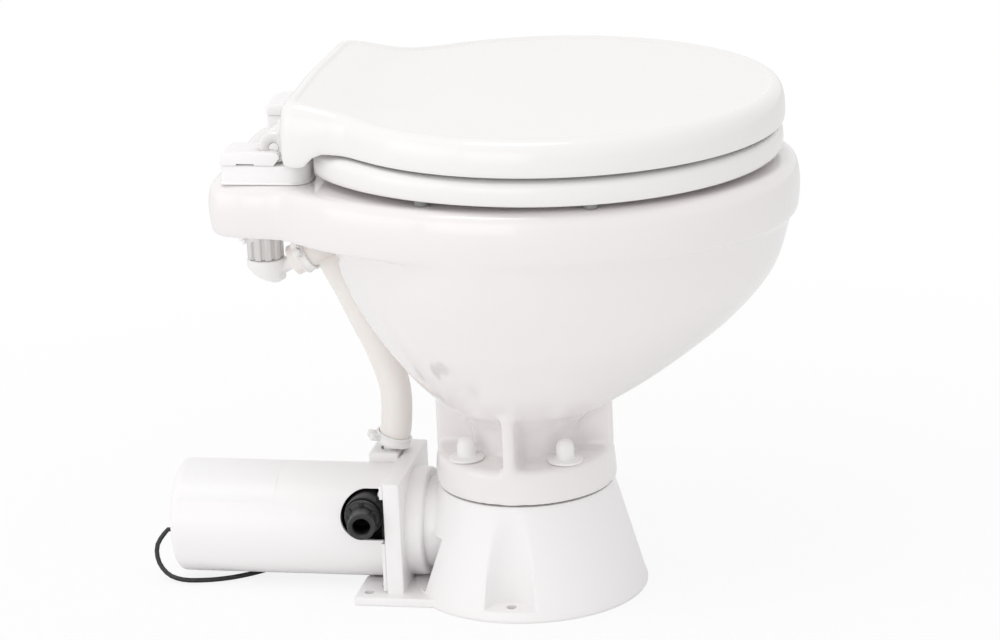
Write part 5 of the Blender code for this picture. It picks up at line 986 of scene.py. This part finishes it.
# Share of a rib's turn and radius round the nut
RIBS = 10
RIB_FLUTE = (
    (0, 0.0128), (0.30, 0.0128), (0.37, 0.0148), (0.45, 0.0152), (0.82, 0.0152), (0.93, 0.0148),
)
NUT_NARROW, NUT_EDGE, NUT_HOLE_R = 0.94, 0.0012, 0.0089
ELBOW_TOP, TAIL_TOP = NUT_LOW - 0.0003, NUT_TOP + 0.026
ELBOW_SKIN = (
    (0, TAIL_TOP), (0.0080, TAIL_TOP), (0.0086, TAIL_TOP - 0.0006), (0.0086, ELBOW_TOP),
    (0.0154, ELBOW_TOP), (0.0160, ELBOW_TOP - 0.0006), (0.0160, ELBOW_TOP - 0.0150),
    (0.0154, ELBOW_TOP - 0.0162), (0.0118, ELBOW_TOP - 0.0199), (0.0108, ELBOW_TOP - 0.0205),
    (0, ELBOW_TOP - 0.0205),
)
SHEAR_FROM, SHEAR_TO, SHEAR, SHEAR_RISE = 0.0040, 0.0160, 0.38, 0.0040
BARB_SKIN = (
    (0, 0), (0.0060, 0), (0.0060, 0.0255), (0.0084, 0.0258), (0.0080, 0.0300), (0.0084, 0.0302),
    (0.0080, 0.0345), (0.0070, 0.0360), (0, 0.0360),
)
ELBOW_BORE_R = 0.0045
STRAP_SKIN = (
    (0.0135, 0), (0.0153, 0), (0.0157, 0.0008), (0.0151, 0.0016), (0.0151, 0.0064),
    (0.0157, 0.0072), (0.0153, 0.0080), (0.0135, 0.0080),
)
EAR_X, EAR_Y, EAR_Z = (0.0138, 0.0216), (-0.0060, 0.0012), (0.0011, 0.0069)
EAR_T, EAR_EDGE = 0.0048, 0.0006
CLAMP_SCREW, CLAMP_SCREW_R = (0.0185, 0.0078, 0.0040), 0.0016
flat = []
for i in range(RIBS):
    for step, r in RIB_FLUTE:
        t = 2 * pi * (i + step) / RIBS
        flat.append((r * cos(t), SPUD_Y + r * sin(t)))


def ribbed(shrink, z):
    return [(x * shrink, SPUD_Y + (y - SPUD_Y) * shrink, z) for x, y in flat]


nut = skin("ribbed_nut", [ribbed(NUT_NARROW, NUT_LOW), ribbed(1, NUT_LOW + NUT_EDGE),
                          ribbed(1, NUT_TOP - NUT_EDGE), ribbed(NUT_NARROW, NUT_TOP)], sharp_deg=24)
cut(nut, upright_rod("nut_hole", 0, SPUD_Y, (NUT_LOW - PAST, NUT_TOP + PAST), NUT_HOLE_R, 40))
# The nut is the same white nylon as the elbow, but its colour is set grey: painted shade from the
# shelf above it.
nut_nylon_painted_shade = speckled("nylon_painted_shade", (0.74, 0.722, 0.712), (0.70, 0.683, 0.673), roughness=0.36,
                      grain=0.0040, depth=0.00003, spread=0.04, patch=0.015,
                      sockets={"Subsurface Weight": 0.2,
                               "Subsurface Radius": (0.004, 0.004, 0.004)})
belongs(nut, "toilet", "translucent_nylon", nut_nylon_painted_shade, "spud_nut")
elbow = spun("inlet_elbow_body", ELBOW_SKIN, 64, (0, SPUD_Y, 0))
for vertex in elbow.data.vertices:
    low_down = eased(ELBOW_TOP - vertex.co.z, SHEAR_FROM, SHEAR_TO)
    vertex.co.z += low_down * (SHEAR_RISE + SHEAR * (vertex.co.y - SPUD_Y))
joined(elbow, spun("elbow_barb", BARB_SKIN, 40, ELBOW_TURN, ELBOW_WAY))
for bore_name, bore_end in (("up_bore", (0, SPUD_Y, TAIL_TOP + PAST)),
                            ("side_bore", ELBOW_TURN + ELBOW_WAY * (BARB_SKIN[-1][1] + PAST))):
    cut(elbow, rod(bore_name, ELBOW_TURN, bore_end, ELBOW_BORE_R, 24))
belongs(elbow, "toilet", "translucent_nylon", milky, "inlet_elbow")
hose_line = smooth_line([HOSE_TOP, HOSE_TOP + ELBOW_WAY * ON_BARB, *HOSE_KNOTS,
                         HOSE_FOOT + HOSE_LEAN * ON_BARB, HOSE_FOOT], HOSE_SPACING)
outer, inner = hoops(hose_line, HOSE_R, 48), hoops(hose_line, HOSE_BORE_R, 48)
hose = skin("vinyl_hose", [*outer, *reversed(inner)], loop=True, sharp_deg=60)
vinyl = speckled("milky_vinyl", (0.935, 0.900, 0.865), (0.915, 0.875, 0.840),
                 roughness=0.38, grain=0.0060, depth=0.00006, spread=0.05, patch=0.05,
                 sockets={"Subsurface Weight": 0.4, "Subsurface Radius": (0.008, 0.006, 0.005)})
belongs(hose, "toilet", "rinse_vinyl", vinyl, "rinse_hose")
for label, spot, way, round_by in (("top", HOSE_TOP + ELBOW_WAY * 0.0080, ELBOW_WAY, 150),
                                   ("bottom", HOSE_FOOT + HOSE_LEAN * 0.0010, HOSE_LEAN, 120)):
    turn = facing(spot, way) @ Matrix.Rotation(radians(round_by), 4, "Z")
    strap = spun(f"hose_clamp_{label}", STRAP_SKIN, 64, spot, way, ring=True)
    ears = []
    for low_y in EAR_Y:
        ear = rounded_block("ear", (EAR_X[0], low_y, EAR_Z[0]), (EAR_X[1], low_y + EAR_T, EAR_Z[1]),
                            EAR_EDGE, 2)
        ear.data.transform(turn)
        ears.append(ear)
    x, y, z = CLAMP_SCREW
    screw = rod("clamp_screw", turn @ Vector((x, -y, z)), turn @ Vector((x, y, z)), CLAMP_SCREW_R,
                20)
    joined(strap, *ears)
    joined(strap, screw)
    belongs(strap, "toilet", "translucent_nylon", milky, f"hose_clamp_{label}")

# Pump
# Black glass-filled mouldings behind the bracket plate: the volute with its side boss and the
# screwed-on hose nozzle, then the small rinse pump with its intake and its outlet tube.
VOLUTE_Y, SIDE_Y, SIDE_Z = 0.1108, 0.1310, 0.0700
VOLUTE_SKIN = (
    (0, 0.0412), (0.0262, 0.0412), (0.0275, 0.0400), (0.0275, 0.0075), (0.0285, 0.0058),
    (0.0418, 0.0055), (0.0425, 0.0048), (0.0425, 0.0006), (0.0418, 0), (0, 0),
)
BOSS_SKIN = ((0, 0), (0.0168, 0), (0.0168, 0.0418), (0.0162, 0.0430), (0, 0.0440))
NOZZLE_ROOT = Vector((-0.0443, SIDE_Y, SIDE_Z))
NOZZLE_SKIN = (
    (0, 0), (0.0143, 0), (0.0150, 0.0007), (0.0150, 0.0033), (0.0143, 0.0040), (0, 0.0040),
)
GRIPS, GRIP_CIRCLE, GRIP_R, GRIP_L = 6, 0.0128, 0.0020, 0.0062
SPOUT_SKIN = (
    (0, 0), (0.0116, 0), (0.0106, 0.0040), (0.0106, 0.0186), (0.0115, 0.0191), (0.0116, 0.0226),
    (0.0112, 0.0237), (0.0104, 0.0240), (0, 0.0240),
)
SPOUT_SUNK, SPOUT_BORE_R = 0.0020, 0.0076
NOZZLE_YAW = radians(10)
NOZZLE_WAY = Vector((-cos(NOZZLE_YAW), -sin(NOZZLE_YAW), 0))
black = speckled("black_moulding", (0.012, 0.012, 0.013), (0.026, 0.026, 0.027), roughness=0.38,
                 grain=0.0012, depth=0.00005, spread=0.06, patch=0.015, strength=0.35)
volute = spun("volute", VOLUTE_SKIN, 96, (0, VOLUTE_Y, SHAFT_Z), (0, 1, 0))
joined(volute, spun("side_boss", BOSS_SKIN, 64, (0, SIDE_Y, SIDE_Z), (-1, 0, 0)))
for tool in (shaft_rod("volute_room", VOLUTE_Y - PAST, 0.1420, 0.0220, 64),
             rod("valve_room", (-0.0150, SIDE_Y, SIDE_Z), (-0.0480, SIDE_Y, SIDE_Z), 0.0125, 48),
             shaft_rod("shaft_way", VOLUTE_Y, 0.1560, 0.0043, 24),
             shaft_rod("seal_room", 0.1440, 0.1560, 0.0093, 32)):
    cut(volute, tool)
belongs(volute, "toilet", "black_plastic", black, "discharge_housing")
nozzle = spun("hose_nozzle", NOZZLE_SKIN, 64, NOZZLE_ROOT, (-1, 0, 0))
for k in range(GRIPS):
    t = radians(360 / GRIPS * k + 30)
    grip = NOZZLE_ROOT + Vector((0, GRIP_CIRCLE * cos(t), GRIP_CIRCLE * sin(t)))
    joined(nozzle, rod("grip_lobe", grip, grip - Vector((GRIP_L, 0, 0)), GRIP_R, 16))
spout_start = NOZZLE_ROOT - Vector((SPOUT_SUNK, 0, 0))
joined(nozzle, spun("spout", SPOUT_SKIN, 64, spout_start, NOZZLE_WAY))
cut(nozzle, rod("spout_bore", spout_start - NOZZLE_WAY * PAST,
                spout_start + NOZZLE_WAY * (SPOUT_SKIN[-1][1] + PAST), SPOUT_BORE_R, 48))
belongs(nozzle, "toilet", "black_plastic", black, "discharge_nozzle")
soft_black = speckled("soft_black_rubber", (0.02, 0.02, 0.02), (0.035, 0.034, 0.033),
                      roughness=0.62, grain=0.0010, depth=0.00006)
dress(soft_black, "joker_valve", "shaft_seal", "rinse_impeller", "cord_grommet")
dress(black, "rinse_pump_housing", "intake_port", "waste_impeller")
dress(milky, "rinse_port")

# Motor
# A permanent-magnet motor in a drawn steel can. The wound armature, both pump wheels and the
# macerator blades sit on one stainless shaft in two ball bearings.
dress(bright, "motor_can", "motor_end_bell", "bearing_front", "bearing_rear", "motor_shaft",
      "macerator_cutter")
ferrite = speckled("ferrite", (0.05, 0.05, 0.055), (0.08, 0.08, 0.085),
                   roughness=0.6, grain=0.0010, depth=0.00008)
dress(ferrite, "magnet_ring")
wound = speckled("varnished_winding", (0.50, 0.22, 0.09), (0.30, 0.14, 0.07),
                 roughness=0.35, grain=0.0007, depth=0.00015, spread=0.1, patch=0.006, strength=0.6,
                 sockets={"Metallic": 0.8})
dress(wound, "armature")

# Motor cover
# A white tube with a domed end is moulded in one with a thin square flange and a small hump for
# the rinse tube. A window in its left side lets the nozzle out, and four screws hold the flange.
COVER_FROM, COVER_TO = 0.1108, 0.2980
COVER_R, COVER_T, COVER_ROUND = 0.0475, 0.0025, 0.006
FLANGE_HALF, FLANGE_T, FLANGE_LOW, FLANGE_TOP, FLANGE_EDGE = 0.056, 0.0030, 0.0085, 0.1010, 0.0006
HUMP = ((0.0140, COVER_FROM + 0.0015, 0.0660), (0.0440, 0.1380, 0.1060))
HUMP_HOLLOW = ((0.0165, 0.1138, 0.0685), (0.0415, 0.1355, 0.1035))
HUMP_ROUND = 0.0030
WINDOW_R, WINDOW_X = 0.0195, (-0.0595, -0.0237)
INTAKE_Y, INTAKE_WINDOW_R, TUBE_WINDOW_R = 0.1645, 0.0100, 0.0081
GROMMET_HOLE_R, SCREW_HOLE_R = 0.0045, 0.0021
SCREW_SEAT_Y, SCREW_HEAD_R = 0.1141, 0.0036
SCREW_SKIN = (
    (0, 0.0022), (0.0014, 0.00215), (0.0026, 0.0017), (0.0034, 0.0009), (SCREW_HEAD_R, 0.0003),
    (SCREW_HEAD_R, 0), (0.0018, 0), (0.0018, -0.0110), (0, -0.0110),
)
DRIVE_SLOT = ((-0.0022, -0.0003, 0.0009), (0.0022, 0.0003, 0.0040))
length = COVER_TO - COVER_FROM
arc = [radians(90 - 10 * k) for k in range(10)]
corner = (COVER_R - COVER_ROUND, length - COVER_ROUND)
outer, inner = [[(corner[0] + r * cos(t), corner[1] + r * sin(t)) for t in arc]
                for r in (COVER_ROUND, COVER_ROUND - COVER_T)]
shell = spun("motor_cover_shell", [(0, length), *outer, (COVER_R, 0), (COVER_R - COVER_T, 0),
                                   *reversed(inner), (0, length - COVER_T)], 128,
             (0, COVER_FROM, SHAFT_Z), (0, 1, 0))
plate = rounded_block("cover_flange", (-FLANGE_HALF, COVER_FROM, FLANGE_LOW),
                      (FLANGE_HALF, COVER_FROM + FLANGE_T, FLANGE_TOP), FLANGE_EDGE, 2)
cut(plate, shaft_rod("flange_eye", COVER_FROM - PAST, 0.1188, 0.04625, 128))
hump = rounded_block("tube_hump", *HUMP, HUMP_ROUND, 5)
cut(hump, shaft_rod("hump_clear", COVER_FROM - PAST, 0.1420, 0.0467, 120))
joined(shell, plate)
joined(shell, hump)
window_arc = [radians(90 - 5 * k) for k in range(37)]
window = [(SIDE_Y + WINDOW_R * cos(t), SIDE_Z + WINDOW_R * sin(t)) for t in window_arc]
window += [(COVER_FROM - PAST, SIDE_Z - WINDOW_R), (COVER_FROM - PAST, SIDE_Z + WINDOW_R)]
window_cut = skin("window_cut", [[(x, y, z) for y, z in window] for x in WINDOW_X])
hump_hollow = rounded_block("hump_hollow", *HUMP_HOLLOW, 0)
for tool in (window_cut, hump_hollow, rod("intake_window", (0.0237, INTAKE_Y, SHAFT_Z),
                                          (COVER_R + PAST, INTAKE_Y, SHAFT_Z), INTAKE_WINDOW_R, 48),
             rod("tube_window", HOSE_FOOT - HOSE_LEAN * 0.0198, HOSE_FOOT + HOSE_LEAN * PAST,
                 TUBE_WINDOW_R, 40), rod("lead_hole", (0, 0.2900, LEAD_EXIT.z),
                                         (0, COVER_TO + PAST, LEAD_EXIT.z), GROMMET_HOLE_R, 32),
             *[rod("flange_screw_hole", (x, COVER_FROM - PAST, z), (x, 0.1180, z), SCREW_HOLE_R, 16)
               for x, z in SCREW_SPOTS]):
    cut(shell, tool)
shell.data.shade_smooth()
shell.data.set_sharp_from_angle(angle=radians(38))
belongs(shell, "toilet", "white_moulding", moulded, "motor_cover")
for i, (x, z) in enumerate(SCREW_SPOTS):
    head = spun(f"flange_screw_{i + 1}", SCREW_SKIN, 32, (x, SCREW_SEAT_Y, z), (0, 1, 0))
    seated = Matrix.Translation((x, SCREW_SEAT_Y, z)) @ Matrix.Rotation(radians(-90), 4, "X")
    for turn in (0, 90):
        slot = rounded_block("drive_slot", *DRIVE_SLOT, 0)
        slot.data.transform(seated @ Matrix.Rotation(radians(turn), 4, "Z"))
        cut(head, slot)
    node = min(range(1, 5), key=lambda k: (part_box(f"cover_screw_{k}")[0][0] + SCREW_HEAD_R - x) ** 2
               + (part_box(f"cover_screw_{k}")[0][2] + SCREW_HEAD_R - z) ** 2)
    belongs(head, "toilet", "stainless_steel", bright, f"cover_screw_{node}")

# Rating label
# A thin white film stuck over the top left of the cover. It is left blank.
film = speckled("label_film", (0.925, 0.916, 0.922), (0.912, 0.902, 0.908),
                roughness=0.32, grain=0.0040, depth=0.00003, spread=0.03, patch=0.05)
FILM_Y, FILM_TURN, FILM_UNDER, FILM_OVER = (0.2080, 0.2900), (84, 146), 0.00004, 0.00016
label_rings = []
for y in np.linspace(*FILM_Y, 24):
    lifts = [(COVER_R + FILM_UNDER, t) for t in np.linspace(*FILM_TURN, 32)]
    lifts += [(COVER_R + FILM_OVER, t) for t in np.linspace(*FILM_TURN[::-1], 32)]
    label_rings.append([(r * cos(radians(t)), y, SHAFT_Z + r * sin(radians(t))) for r, t in lifts])
label_film = skin("blank_label", label_rings)
belongs(label_film, "toilet", "white_moulding", film)
